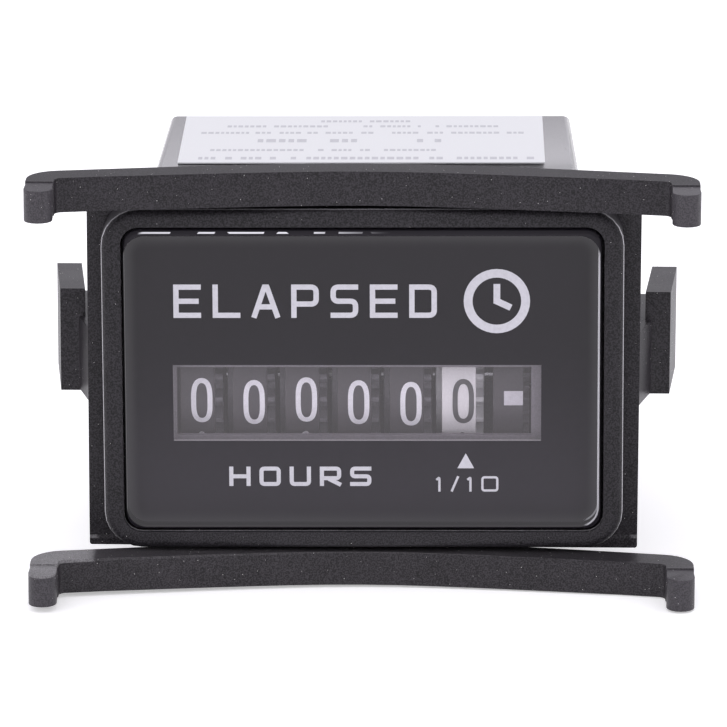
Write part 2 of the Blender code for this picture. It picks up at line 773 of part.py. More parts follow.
def reduction_gear(gear_surface, pin_surface):
    """A large gear and a small one in one moulding, on a stud in the right plate."""
    back = REDUCTION_ANGLE + math.pi
    large = gear_outline(GEAR_TEETH, GEAR_MODULE, back + math.pi / GEAR_TEETH)
    small = gear_outline(GEAR_PINION_TEETH, GEAR_MODULE, back + math.pi / GEAR_PINION_TEETH)
    gear = prism_x("gear", large, 0, GEAR_FACE)
    join(
        gear,
        rod_x("hub", GEAR_HUB_RADIUS - RUNNING_GAP, -RUNNING_GAP, GEAR_STEP + GEAR_FACE / 2, segments=16),
        prism_x("pinion", small, GEAR_FACE + SEAT_GAP, GEAR_STEP + GEAR_FACE),
    )
    cut(gear, rod_x("bore", ARBOR_RADIUS + RUNNING_GAP, -GEAR_STEP, 3 * GEAR_STEP))
    finish(gear, "reduction_gear", gear_surface, (SECOND_GEAR_X, *REDUCTION_AXIS))
    start = SECOND_GEAR_X - SEAT_GAP
    stud = rod_x("stud", ARBOR_RADIUS, start, RIGHT_PLATE_X + FRAME_PLATE - RUNNING_GAP)
    finish(stud, "reduction_stud", pin_surface, (0, *REDUCTION_AXIS), smooth=True)


def idler_gear(gear_surface, pin_surface):
    towards_shaft = IDLER_ANGLE + math.pi
    outline = gear_outline(IDLER_TEETH, GEAR_MODULE, towards_shaft + math.pi / IDLER_TEETH)
    gear = prism_x("gear", outline, 0, GEAR_FACE)
    hub_start = BRIDGE_WALL_X + FRAME_PLATE + SEAT_GAP - FIRST_GEAR_X
    hub_end = RIGHT_PLATE_X - SEAT_GAP - FIRST_GEAR_X
    join(gear, rod_x("hub", GEAR_HUB_RADIUS, hub_start, hub_end, segments=16))
    cut(gear, rod_x("bore", ARBOR_RADIUS + RUNNING_GAP, hub_start - SEAT_GAP, hub_end + SEAT_GAP))
    finish(gear, "idler_gear", gear_surface, (FIRST_GEAR_X, *IDLER_AXIS))
    end = RIGHT_PLATE_X + FRAME_PLATE - RUNNING_GAP
    arbor = rod_x("arbor", ARBOR_RADIUS, BRIDGE_WALL_X + RUNNING_GAP, end)
    finish(arbor, "idler_arbor", pin_surface, (0, *IDLER_AXIS), smooth=True)


# Stepping motor

def rotor_mesh_angle():
    """The direction of a rotor tooth space that takes the idler's nearest tooth."""
    towards_rotor = ROTOR_ANGLE
    first_tooth = IDLER_ANGLE + math.pi + math.pi / IDLER_TEETH
    pitch = math.tau / IDLER_TEETH
    nearest = first_tooth + round((towards_rotor - first_tooth) / pitch) * pitch
    offset = (nearest - towards_rotor) * IDLER_TEETH / GEAR_PINION_TEETH
    return towards_rotor + math.pi - offset + math.pi / GEAR_PINION_TEETH


def rotor(surface):
    """A round magnet and its pinion on one arbor."""
    bearing_x = bridge_plate_x() + RUNNING_GAP
    middle = STATOR_X + STATOR_THICKNESS / 2
    body = rod_x("magnet", ROTOR_RADIUS, middle - ROTOR_LENGTH / 2, middle + ROTOR_LENGTH / 2, segments=24)
    teeth = gear_outline(GEAR_PINION_TEETH, GEAR_MODULE, rotor_mesh_angle())
    end = RIGHT_PLATE_X + FRAME_PLATE - RUNNING_GAP
    join(
        body,
        rod_x("arbor", ARBOR_RADIUS, bearing_x, end),
        prism_x("pinion", teeth, FIRST_GEAR_X, FIRST_GEAR_X + GEAR_FACE),
    )
    finish(body, "rotor", surface, (0, *ROTOR_AXIS), smooth=True)


def bridge_plate_x():
    return STATOR_X - SEAT_GAP - STATOR_SPACE - BRIDGE_THICKNESS


def motor_bridge(surface):
    """The plate that carries the rotor's left end, held on the frame's two pegs."""
    pegs = motor_pegs()
    reach = MOTOR_PEG_RADIUS + MOTOR_SLEEVE_WALL
    bottom = stator_bottom() + reach
    top = stator_bottom() + STATOR_FOOT_HEIGHT - reach
    outline = rectangle(pegs[0][0] - reach, pegs[1][0] + reach, bottom, top)
    start = bridge_plate_x()
    end = start + BRIDGE_THICKNESS
    plate = prism_x("plate", outline, start, end)
    for peg in pegs:
        sleeve = rod_x("sleeve", reach - RUNNING_GAP, start + BRIDGE_THICKNESS / 2, STATOR_X - SEAT_GAP, peg)
        join(plate, sleeve)
    for peg in pegs:
        cut(plate, rod_x("hole", MOTOR_PEG_RADIUS + RUNNING_GAP, start - SEAT_GAP, STATOR_X, peg))
    cut(plate, rod_x("pivot", ARBOR_RADIUS + RUNNING_GAP, start - SEAT_GAP, end + SEAT_GAP, ROTOR_AXIS))
    finish(plate, "motor_bridge", surface)


def stator(surface):
    """A U-shaped lamination with the rotor hole and its two saturation notches."""
    bottom = stator_bottom()
    foot_top = bottom + STATOR_FOOT_HEIGHT
    top = foot_top + STATOR_ARM_HEIGHT
    start = STATOR_Y
    end = STATOR_Y + STATOR_LENGTH
    outline = [
        (start, bottom),
        (end, bottom),
        (end, top),
        (end - STATOR_ARM_WIDTH, top),
        (end - STATOR_ARM_WIDTH, foot_top),
        (start + STATOR_ARM_WIDTH, foot_top),
        (start + STATOR_ARM_WIDTH, top),
        (start, top),
    ]
    plate = prism_x("lamination", outline, STATOR_X, STATOR_X + STATOR_THICKNESS)
    before = STATOR_X - SEAT_GAP
    beyond = STATOR_X + STATOR_THICKNESS + SEAT_GAP
    cut(plate, rod_x("rotor_hole", ROTOR_HOLE_RADIUS, before, beyond, ROTOR_AXIS, 24))
    for turn in (-1, 1):
        notch = from_point(ROTOR_AXIS, ROTOR_HOLE_RADIUS, turn * math.pi / 2)
        cut(plate, rod_x("notch", 2 * SEAT_GAP, before, beyond, notch, 8))
    for peg in motor_pegs():
        cut(plate, rod_x("peg_hole", MOTOR_PEG_RADIUS + RUNNING_GAP, before, beyond, peg))
    finish(plate, "stator", surface)


def coil(steel, plastic, copper):
    """The core that bridges the stator's arms, its bobbin and its winding."""
    core_z = stator_bottom() + STATOR_FOOT_HEIGHT + STATOR_ARM_HEIGHT - STATOR_ARM_WIDTH / 2
    core_x = STATOR_X - SEAT_GAP - STATOR_THICKNESS / 2
    half = STATOR_THICKNESS / 2
    ends = (STATOR_Y, STATOR_Y + STATOR_LENGTH)
    core = box(
        "core", (core_x - half, core_x + half), ends, (core_z - CORE_WIDTH / 2, core_z + CORE_WIDTH / 2)
    )
    finish(core, "coil_core", steel)

    first = ends[0] + STATOR_ARM_WIDTH + SEAT_GAP
    last = ends[1] - STATOR_ARM_WIDTH - SEAT_GAP

    def sleeve(name, grow, start, end):
        """A rectangular tube round the core, grown outwards from its faces."""
        across = half + FIT_GAP + grow
        up = CORE_WIDTH / 2 + FIT_GAP + grow
        return box(name, (core_x - across, core_x + across), (start, end), (core_z - up, core_z + up))

    flange = BOBBIN_FLANGE / 2 - CORE_WIDTH / 2 - FIT_GAP
    bobbin = sleeve("tube", BOBBIN_WALL, first, last)
    join(
        bobbin,
        sleeve("near", flange, first - 0.1 * SEAT_GAP, first + BOBBIN_FLANGE_THICKNESS),
        sleeve("far", flange, last - BOBBIN_FLANGE_THICKNESS, last + 0.1 * SEAT_GAP),
    )
    cut(bobbin, sleeve("hole", 0, first - SEAT_GAP, last + SEAT_GAP))
    finish(bobbin, "coil_bobbin", plastic)

    start = first + BOBBIN_FLANGE_THICKNESS + FIT_GAP
    end = last - BOBBIN_FLANGE_THICKNESS - FIT_GAP
    inner = BOBBIN_WALL + RUNNING_GAP
    winding = sleeve("winding", inner + WINDING_DEPTH, start, end)
    bevel = winding.modifiers.new("round", "BEVEL")
    bevel.width = WINDING_DEPTH * 0.8
    bevel.segments = 3
    bevel.limit_method = "ANGLE"
    cut(winding, sleeve("inside", inner, start - SEAT_GAP, end + SEAT_GAP))
    finish(winding, "coil_winding", copper)


# Circuit board

def board_back():
    return cover_front() - BOARD_TO_COVER


def board_face():
    """Where the board's front side lies, which carries the parts."""
    return board_back() - BOARD_THICKNESS


def board_half_width():
    return case_half_width(board_back()) - CASE_WALL - BOARD_GAP


def board_half_height():
    return case_half_height(board_back()) - CASE_WALL - BOARD_GAP


def on_board(place):
    """The (x, z) of a place counted from the board's left edge and from its middle height."""
    return (place[0] - board_half_width(), place[1])


def circuit_board(surface):
    across = board_half_width()
    up = board_half_height()
    board = box("board", (-across, across), (board_face(), board_back()), (-up, up))
    for side in (-1, 1):
        middle = side * TERMINAL_SPACING / 2
        reach = TERMINAL_TAIL / 2 + FIT_GAP
        half = TERMINAL_THICKNESS / 2 + FIT_GAP
        cut(
            board,
            box(
                "slot",
                (middle - reach, middle + reach),
                (board_face() - SEAT_GAP, board_back() + SEAT_GAP),
                (-half, half),
            ),
        )
    finish(board, "circuit_board", surface)


def terminals(surface):
    """Blade terminals: a tail through the board, a shouldered body and the blade itself."""
    for side, name in ((-1, "terminal_left"), (1, "terminal_right")):
        middle = side * TERMINAL_SPACING / 2
        half = TERMINAL_WIDTH / 2
        wide = half + TERMINAL_SHOULDER
        tail = TERMINAL_TAIL / 2
        start = board_face() - 2 * SEAT_GAP
        seat = board_back() + SEAT_GAP
        neck = cover_front() - SEAT_GAP
        tip = CASE_LENGTH + TERMINAL_REACH
        chamfer = TERMINAL_SHOULDER
        outline = [
            (-tail, start),
            (tail, start),
            (tail, seat),
            (wide, seat),
            (wide, neck),
            (half, neck),
            (half, tip - chamfer),
            (half - chamfer, tip),
            (chamfer - half, tip),
            (-half, tip - chamfer),
            (-half, neck),
            (-wide, neck),
            (-wide, seat),
            (-tail, seat),
        ]
        outline = [(middle + x, y) for x, y in outline]
        blade = prism_z("blade", outline, -TERMINAL_THICKNESS / 2, TERMINAL_THICKNESS / 2)
        eye = circle(TERMINAL_HOLE_RADIUS, 16, (middle, tip - TERMINAL_WIDTH / 2))
        cut(blade, prism_z("eye", eye, -TERMINAL_THICKNESS, TERMINAL_THICKNESS))
        finish(blade, name, surface)


def leads(places):
    """Short wires that stand on the board, one at each (x, z)."""
    top = board_face() - SOLDER_GAP
    wires = []
    for x, z, depth in places:
        wires.append(prism_y("lead", circle(LEAD_RADIUS, 8, (x, z)), top - depth, top))
    return wires


def round_part(name, surface, place, radius, length):
    """A cylinder lying along X in front of the board, with a lead at each end."""
    x, z = on_board(place)
    y = board_face() - SEAT_GAP - radius
    half = length / 2
    body = rod_x("body", radius, x - half, x + half, (y, z), 16)
    reach = half + 3 * LEAD_RADIUS
    wire = rod_x("wire", LEAD_RADIUS, x - reach - LEAD_RADIUS, x + reach + LEAD_RADIUS, (y, z), 8)
    depth = board_face() - SOLDER_GAP - y
    join(body, wire, *leads([(x - reach, z, depth), (x + reach, z, depth)]))
    finish(body, name, surface, smooth=True)


def driver_chip(surface):
    x, z = on_board(CHIP_PLACE)
    width, depth, height = CHIP_SIZE
    face = board_face() - SOLDER_GAP - depth / 4
    across = (x - width / 2, x + width / 2)
    chip = box("chip", across, (face - depth, face), (z - height / 2, z + height / 2))
    reach = height / 2 + CHIP_LEG
    for i in range(4):
        middle = x + (i - 1.5) * CHIP_PITCH
        leg = box(
            "legs",
            (middle - LEAD_RADIUS, middle + LEAD_RADIUS),
            (face - depth / 4, board_face() - SOLDER_GAP),
            (z - reach, z + reach),
        )
        join(chip, leg)
    finish(chip, "driver_chip", surface)


def capacitor(surface):
    """A can standing on the board on two leads."""
    front = board_face() - SEAT_GAP - CAPACITOR_LENGTH
    x, z = on_board(CAPACITOR_PLACE)
    can = prism_y("can", circle(CAPACITOR_RADIUS, 20, (x, z)), front, board_face() - SEAT_GAP)
    half = CAPACITOR_RADIUS / 2
    join(can, *leads([(x - half, z, 2 * SEAT_GAP), (x + half, z, 2 * SEAT_GAP)]))
    finish(can, "capacitor", surface, smooth=True)


# Mounting clip

def clip_half_width():
    return CASE_WIDTH / 2 + CLIP_GAP


def clip_half_height():
    return CASE_HEIGHT / 2 + CLIP_GAP


def ring():
    """The frame that slides along the case: a channel open to the rear, with cross ribs."""
    front = SEAT_GAP
    back = front + RING_DEPTH
    outline = rounded_rectangle(RING_WIDTH, RING_HEIGHT, RING_CORNER, 2)
    body = prism_y("ring", outline, front, back)
    across = clip_half_width()
    up = clip_half_height()
    opening = rounded_rectangle(2 * across, 2 * up, CASE_CORNER, 3)
    cut(body, prism_y("opening", opening, front - SEAT_GAP, back + SEAT_GAP))
    floor = front + RING_FLOOR
    inner = (across + RING_SLEEVE, up + RING_SLEEVE)
    outer = (RING_WIDTH / 2 - RING_RIM, RING_HEIGHT / 2 - RING_RIM)
    for side in (-1, 1):
        for start, end in channel_bays(inner[1], 3):
            x = sorted((side * inner[0], side * outer[0]))
            cut(body, box("side_bay", x, (floor, back + SEAT_GAP), (start, end)))
        for start, end in channel_bays(inner[0], 5):
            z = sorted((side * inner[1], side * outer[1]))
            cut(body, box("top_bay", (start, end), (floor, back + SEAT_GAP), z))
    return body


def channel_bays(half, count):
    """Equal pockets along a channel with a rib between each two."""
    step = 2 * half / count
    return [(-half + i * step + RING_RIB / 2, -half + (i + 1) * step - RING_RIB / 2) for i in range(count)]


def bow_front(x):
    return BOW_FRONT - BOW_SLOPE_FRONT * (math.hypot(x, BOW_ROUND_FRONT) - BOW_ROUND_FRONT)


def bow_rear(x):
    sag = BOW_SLOPE_REAR * (math.hypot(x, BOW_ROUND_REAR) - BOW_ROUND_REAR)
    return BOW_FRONT + BOW_THICKNESS - sag


def bow_half_outline():
    """The right half of a bow in plan, from the middle of its rear face to that of its front."""
    heading = -math.atan(BOW_SLOPE_REAR)
    corner_start = FOOT_SPAN - FOOT_CORNER * (1 + math.sin(heading))
    rear = [corner_start * i / 8 for i in range(9)]
    points = [(x, bow_rear(x)) for x in rear]
    centre = (FOOT_SPAN - FOOT_CORNER, bow_rear(corner_start) - FOOT_CORNER * math.cos(heading))
    points += arc(centre, FOOT_CORNER, math.pi / 2 + heading, 0, 7)[1:]
    inner = FOOT_SPAN - FOOT_WIDTH
    points += [(FOOT_SPAN, FOOT_STEP_Y), (inner, FOOT_STEP_Y)]
    fillet = (inner - FOOT_FILLET, bow_front(inner) - FOOT_FILLET)
    points += arc(fillet, FOOT_FILLET, 0, math.pi / 2, 4)
    front = [(inner - FOOT_FILLET) * (1 - i / 8) for i in range(1, 9)]
    points += [(x, bow_front(x)) for x in front]
    return points


def bow_spring(side):
    """A bow spring above or below the bezel, with a blunt foot at each end."""
    right = bow_half_outline()
    left = mirrored(right)[1:-1]
    inner = BEZEL_HEIGHT / 2 + BOW_GAP
    outer = inner + BOW_HEIGHT
    bow = prism_z("bow", right + left, *sorted((side * inner, side * outer)))
    round_radius = FOOT_WIDTH / 2
    for end in (-1, 1):
        middle = end * (FOOT_SPAN - round_radius)
        root = FOOT_STEP_Y + FOOT_WIDTH / 2
        tip = arc((middle, FOOT_TIP + round_radius), round_radius, math.pi, math.tau, 8)
        half = round_radius - FOOT_STEP
        outline = [(middle + half, root), (middle - half, root)] + tip
        z = sorted((side * (inner + FOOT_STEP), side * (outer - FOOT_STEP)))
        join(bow, prism_z("foot", outline, *z))
    return bow


def post(side):
    """The web that joins a bow's middle to the ring, sloping down behind the bow."""
    rear = BOW_FRONT + BOW_THICKNESS
    inner = side * (BEZEL_HEIGHT / 2 + BOW_GAP)
    outer = side * (BEZEL_HEIGHT / 2 + BOW_GAP + BOW_HEIGHT - 2 * FOOT_STEP)
    ring_top = side * (RING_HEIGHT / 2 - FOOT_STEP)
    outline = [
        (rear - BOW_THICKNESS / 3, inner),
        (SEAT_GAP + RING_FLOOR / 2, inner),
        (SEAT_GAP + RING_DEPTH / 2, ring_top),
        (rear, outer),
        (rear - BOW_THICKNESS / 3, outer),
    ]
    return prism_x("post", outline, -POST_WIDTH / 2, POST_WIDTH / 2)


def side_arm(side):
    """An arm with a finger tab outside and a pawl inside, for one side of the ring."""
    root = SEAT_GAP + RING_DEPTH - RING_FLOOR
    tab_end = TAB_START + TAB_LENGTH
    outer = RING_WIDTH / 2 - CLIP_EDGE
    lap = ARM_THICKNESS / 3
    arm_outline = [
        (outer - ARM_THICKNESS, root),
        (outer, root),
        (TAB_INNER + lap, TAB_START),
        (TAB_INNER + TAB_FLARE + lap, tab_end),
        (TAB_INNER + TAB_FLARE + lap - ARM_THICKNESS, tab_end),
        (TAB_INNER + lap - ARM_THICKNESS, TAB_START),
    ]
    tab_outline = [
        (TAB_INNER, TAB_START),
        (TAB_INNER + TAB_WIDTH, TAB_START),
        (TAB_INNER + TAB_WIDTH + TAB_FLARE, tab_end),
        (TAB_INNER + TAB_FLARE, tab_end),
    ]
    pawl_tip = CASE_WIDTH / 2 + PAWL_GAP
    pawl_root = TAB_INNER + TAB_FLARE + lap - ARM_THICKNESS / 2
    pawl_outline = [
        (pawl_root, tab_end - 3 * PAWL_THICKNESS),
        (pawl_root, tab_end - CLIP_EDGE),
        (pawl_tip, tab_end - PAWL_THICKNESS / 2),
        (pawl_tip, tab_end - PAWL_THICKNESS),
    ]
    outlines = (
        ("arm", arm_outline, ARM_BOTTOM, ARM_TOP),
        ("tab", tab_outline, -TAB_HEIGHT / 2, TAB_HEIGHT / 2),
        ("pawl", pawl_outline, -PAWL_HEIGHT / 2, PAWL_HEIGHT / 2),
    )
    pieces = []
    for name, outline, bottom, top in outlines:
        outline = outline if side > 0 else mirrored(outline)
        pieces.append(prism_z(name, outline, bottom, top))
    return join(*pieces)


def mounting_clip(surface):
    """The whole clip, which sits slightly turned within its play on the case."""
    clip = ring()
    for side in (-1, 1):
        join(clip, bow_spring(side), post(side), side_arm(side))
    edges = clip.modifiers.new("edges", "BEVEL")
    edges.width = CLIP_EDGE
    edges.segments = 1
    edges.limit_method = "ANGLE"
    edges.angle_limit = math.radians(40)
    clip.rotation_euler.y = CLIP_TURN
    return finish(clip, "mounting_clip", surface)


# The whole meter

def build():
    for old in list(bpy.data.objects):
        bpy.data.objects.remove(old, do_unlink=True)
    case_plastic = material("case_plastic", (0.035, 0.034, 0.036), 0.42)
    clip_plastic = material("clip_plastic", (0.05, 0.047, 0.048), 0.5)
    clear = material("clear_plastic", (0.9, 0.92, 0.93), 0.05, alpha=0.25)
    dial_black = material("dial_black", (0.03, 0.03, 0.032), 0.6)
    wheel_black = material("wheel_black", (0.02, 0.02, 0.022), 0.45)
    wheel_white = material("wheel_white", (0.75, 0.75, 0.74), 0.5)
    frame_plastic = material("frame_plastic", (0.05, 0.05, 0.055), 0.55)
    gear_plastic = material("gear_plastic", (0.72, 0.7, 0.62), 0.5)
    steel = material("steel", (0.6, 0.6, 0.6), 0.3, 1.0)
    stator_steel = material("stator_steel", (0.5, 0.5, 0.5), 0.4, 1.0)
    magnet = material("magnet", (0.2, 0.2, 0.21), 0.5, 0.6)
    bobbin_plastic = material("bobbin_plastic", (0.75, 0.73, 0.68), 0.5)
    copper = material("copper_wire", (0.72, 0.3, 0.12), 0.35, 0.8)
    board_green = material("board_green", (0.03, 0.18, 0.07), 0.4)
    chip_black = material("chip_black", (0.03, 0.03, 0.03), 0.5)
    can_metal = material("can_metal", (0.7, 0.7, 0.7), 0.3, 1.0)
    capacitor_blue = material("capacitor_sleeve", (0.05, 0.09, 0.25), 0.4)
    resistor_tan = material("resistor_tan", (0.65, 0.5, 0.3), 0.5)
    diode_black = material("diode_black", (0.04, 0.04, 0.04), 0.4)
    tinned_brass = material("tinned_brass", (0.75, 0.74, 0.7), 0.3, 1.0)
    label_white = material("label_white", (0.85, 0.85, 0.86), 0.5)

    case_body(case_plastic)
    rear_cover(case_plastic)
    lens(clear)
    dial_plate(dial_black)
    label(label_white)
    counter_frame(frame_plastic)
    number_wheels(wheel_black, wheel_white)
    carry_pinions(gear_plastic)
    wheel_shaft(steel)
    indicator_wheel(wheel_black)
    shaft_gear(gear_plastic)
    reduction_gear(gear_plastic, steel)
    idler_gear(gear_plastic, steel)
    rotor(magnet)
    motor_bridge(frame_plastic)
    stator(stator_steel)
    coil(stator_steel, bobbin_plastic, copper)
    circuit_board(board_green)
    driver_chip(chip_black)
    capacitor(capacitor_blue)
    round_part("quartz_crystal", can_metal, CRYSTAL_PLACE, CRYSTAL_RADIUS, CRYSTAL_LENGTH)
    round_part("resistor", resistor_tan, RESISTOR_PLACE, RESISTOR_RADIUS, RESISTOR_LENGTH)
    round_part("diode", diode_black, DIODE_PLACE, DIODE_RADIUS, DIODE_LENGTH)
    terminals(tinned_brass)
    mounting_clip(clip_plastic)


build()
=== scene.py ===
# %% [markdown]
# # A miniature panel hour meter
#
# This lesson dresses a finished CAD model. The model gives every solid in metres, with the dial
# facing -Y, the panel behind the bezel at y = 0 and the terminals at the rear. What is added here
# is what CAD leaves out: softened edges, fine moulded grain, printed words and digits, and light.

import json
import math
import random

import bmesh
import bpy
from mathutils import Matrix, Vector


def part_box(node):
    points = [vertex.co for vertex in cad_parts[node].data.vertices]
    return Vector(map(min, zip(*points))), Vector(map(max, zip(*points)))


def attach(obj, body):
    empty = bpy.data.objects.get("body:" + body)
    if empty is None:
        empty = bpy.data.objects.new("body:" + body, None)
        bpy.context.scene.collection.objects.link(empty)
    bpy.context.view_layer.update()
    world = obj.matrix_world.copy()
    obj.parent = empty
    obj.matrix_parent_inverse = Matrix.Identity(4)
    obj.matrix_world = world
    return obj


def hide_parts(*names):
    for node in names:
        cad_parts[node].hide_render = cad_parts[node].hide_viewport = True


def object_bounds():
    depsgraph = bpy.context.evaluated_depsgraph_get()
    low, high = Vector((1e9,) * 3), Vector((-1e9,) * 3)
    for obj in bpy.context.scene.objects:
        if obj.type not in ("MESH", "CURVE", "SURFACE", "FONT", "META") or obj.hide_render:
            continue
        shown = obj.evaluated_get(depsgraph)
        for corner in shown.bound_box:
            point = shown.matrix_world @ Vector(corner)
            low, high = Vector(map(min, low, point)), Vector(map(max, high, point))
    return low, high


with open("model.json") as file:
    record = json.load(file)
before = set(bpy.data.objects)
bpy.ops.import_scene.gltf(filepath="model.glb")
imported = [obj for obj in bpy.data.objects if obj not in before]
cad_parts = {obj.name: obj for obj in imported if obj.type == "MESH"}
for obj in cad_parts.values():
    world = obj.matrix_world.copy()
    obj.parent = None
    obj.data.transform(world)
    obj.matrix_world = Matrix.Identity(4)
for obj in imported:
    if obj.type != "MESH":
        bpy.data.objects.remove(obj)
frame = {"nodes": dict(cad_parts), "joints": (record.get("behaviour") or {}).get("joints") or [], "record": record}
cad_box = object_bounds()
nodes = frame["nodes"]

# %% [markdown]
# ## Lengths
#
# The solids are measured rather than typed in again, so that print, digits and dust land on the
# surfaces that carry them. One millimetre is written once and the rest is counted in it.

# %% Measure the model
MM = 0.001


def edges_of(node):
    """A solid's box as ((x low, x high), (y low, y high), (z low, z high))."""
    low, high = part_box(node)
    return tuple(zip(low, high))


def joint_axis(name):
    """The point that a turning joint's axis passes through."""
    return Vector(next(j["pos_m"] for j in frame["joints"] if j["name"] == name))


wheel_axis = joint_axis("tenths_spin")
drum_radius = wheel_axis.y - edges_of("wheel_tenths")[1][0]
dial_face = edges_of("dial_plate")[1][0]
print("drum radius mm:", round(drum_radius / MM, 3))

# %% [markdown]
# ## Shader arithmetic
#
# A procedural finish is a small sum: grain times a mask, plus a base. Typed as Python it reads like
# one. A wrapped socket turns each operator into a Math node, and one method adds any other node.

# %% Wrap a socket
class Value:
    """A number that changes over a surface, with operators that add Math nodes."""

    def __init__(self, finish, socket):
        self.finish = finish
        self.socket = socket

    def math(self, operation, first, second):
        node = self.finish.add("ShaderNodeMath", {"operation": operation}, {0: first, 1: second})
        return node.value("Value")

    def __add__(self, other):
        return self.math("ADD", self, other)

    def __radd__(self, other):
        return self.math("ADD", other, self)

    def __sub__(self, other):
        return self.math("SUBTRACT", self, other)

    def __rsub__(self, other):
        return self.math("SUBTRACT", other, self)

    def __mul__(self, other):
        return self.math("MULTIPLY", self, other)

    def __rmul__(self, other):
        return self.math("MULTIPLY", other, self)

    def above(self, limit):
        """1 where the value is over the limit, and 0 elsewhere."""
        return self.math("GREATER_THAN", self, limit)

    def largest(self, other):
        return self.math("MAXIMUM", self, other)

    def size(self):
        """The value without its sign."""
        return self.math("ABSOLUTE", self, 0.0)

    def root(self):
        return self.math("SQRT", self, 0.0)


class Node:
    """A shader node that hands out its outputs as values."""

    def __init__(self, finish, node):
        self.finish = finish
        self.node = node

    def value(self, name):
        return Value(self.finish, self.node.outputs[name])


# %% [markdown]
# ## A finish
#
# A finish is one material. It keeps its node tree, its main shader and the object coordinates,
# because every pattern here is fixed to the piece and must not slide when the piece moves. A Mix
# node has sockets for every kind of value under the same names, so the ones for colours are found
# by their numbers.

# %% Start a finish
MIX_FACTOR = 0
MIX_FIRST = 6
MIX_SECOND = 7
MIX_RESULT = 2


class Finish:
    """A material built from a Principled shader."""

    def __init__(self, name, colour, roughness, metallic=0.0):
        self.material = bpy.data.materials.new(name)
        self.material.use_nodes = True
        self.tree = self.material.node_tree
        self.shader = self.tree.nodes["Principled BSDF"]
        self.output = self.tree.nodes["Material Output"]
        self.colour = (*colour, 1.0)
        self.feed(self.shader, {"Base Color": self.colour, "Roughness": roughness, "Metallic": metallic})
        self.place = self.add("ShaderNodeTexCoord").value("Object")

    def feed(self, node, inputs):
        """Gives sockets their links or plain values."""
        for key, given in inputs.items():
            socket = node.inputs[key]
            if isinstance(given, Value):
                self.tree.links.new(given.socket, socket)
            else:
                socket.default_value = given

    def add(self, kind, settings=None, inputs=None):
        """Adds a node, sets its settings first and then its sockets."""
        node = self.tree.nodes.new(kind)
        for key, setting in (settings or {}).items():
            setattr(node, key, setting)
        self.feed(node, inputs or {})
        return Node(self, node)

    def noise(self, size, detail=2.0):
        """Cloudy noise from 0 to 1 whose clouds are about size across."""
        inputs = {"Vector": self.place, "Scale": 1.0 / size, "Detail": detail}
        return self.add("ShaderNodeTexNoise", None, inputs).value("Fac")

    def axis(self, name):
        """One object coordinate, in metres."""
        return self.add("ShaderNodeSeparateXYZ", None, {"Vector": self.place}).value(name)

    def ramp(self, factor, low, high):
        """0 where factor is at low and 1 where it is at high, smooth between."""
        settings = {"interpolation_type": "SMOOTHSTEP"}
        inputs = {"Value": factor, "From Min": low, "From Max": high}
        return self.add("ShaderNodeMapRange", settings, inputs).value("Result")

    def band(self, factor, low, high, blur):
        """1 where factor lies from low to high and 0 elsewhere, each end softened upwards by blur."""
        return self.ramp(factor, low, low + blur) - self.ramp(factor, high, high + blur)

    def blend(self, factor, first, second):
        """Mixes two colours, each a value or plain numbers."""
        first, second = (c if isinstance(c, Value) else (*c[:3], 1.0) for c in (first, second))
        inputs = {MIX_FACTOR: factor, MIX_FIRST: first, MIX_SECOND: second}
        return self.add("ShaderNodeMix", {"data_type": "RGBA"}, inputs).value(MIX_RESULT)

    def layered(self, factor, first, second):
        """Mixes two shaders: the second shows where factor is 1."""
        return self.add("ShaderNodeMixShader", None, {0: factor, 1: first, 2: second}).value("Shader")

    def bump(self, height, depth):
        """Raises the surface by height (0 to 1) times depth in metres."""
        inputs = {"Height": height, "Distance": depth, "Strength": 1.0}
        self.feed(self.shader, {"Normal": self.add("ShaderNodeBump", None, inputs).value("Normal")})

    def set(self, **inputs):
        self.feed(self.shader, {key.replace("_", " "): given for key, given in inputs.items()})


# %% [markdown]
# ## Moulded black plastic
#
# The case and the clip come from spark-eroded tools, which leave a fine matt grain of about an
# eighth of a millimetre. The grain is bump, broken up by slower clouds in colour and gloss, and the
# case behind the bezel comes from a polished part of the tool, so it gets a clear glossy coat.

# %% Mould the plastics
SHEEN = 0.25
CLOUD = 4 * MM
GLOSS_CHANGE = 0.12
GRAIN_EDGES = (0.38, 0.62)
GRAIN_SHARE = 0.8
CLOUD_SHARE = 0.4
TINT_SHIFT = 0.1
COAT_FROM = -0.02 * MM
COAT_ROUGHNESS = 0.12


def moulded(name, colour, roughness, grain=0.13 * MM, depth=0.012 * MM, contrast=0.55):
    """A matt moulded plastic with fine grain and slow changes of tone."""
    finish = Finish(name, colour, roughness)
    finish.colour = tinted(finish, colour, grain, contrast)
    finish.set(Base_Color=finish.colour)
    finish.set(Specular_IOR_Level=SHEEN)
    finish.gloss = roughness + GLOSS_CHANGE * (finish.noise(CLOUD, detail=3.0) - 0.5)
    finish.set(Roughness=finish.gloss)
    finish.bump(finish.noise(grain, detail=4.0), depth)
    return finish


def tinted(finish, colour, grain, contrast):
    """The colour made darker and lighter by fine grain and by slow clouds."""
    fine = finish.ramp(finish.noise(grain, detail=2.0), *GRAIN_EDGES)
    clouds = finish.noise(CLOUD, detail=3.0)
    dark = [c * (1 - contrast) for c in colour]
    light = [c * (1 + contrast) for c in colour]
    return finish.blend(GRAIN_SHARE * fine + CLOUD_SHARE * clouds - TINT_SHIFT, dark, light)


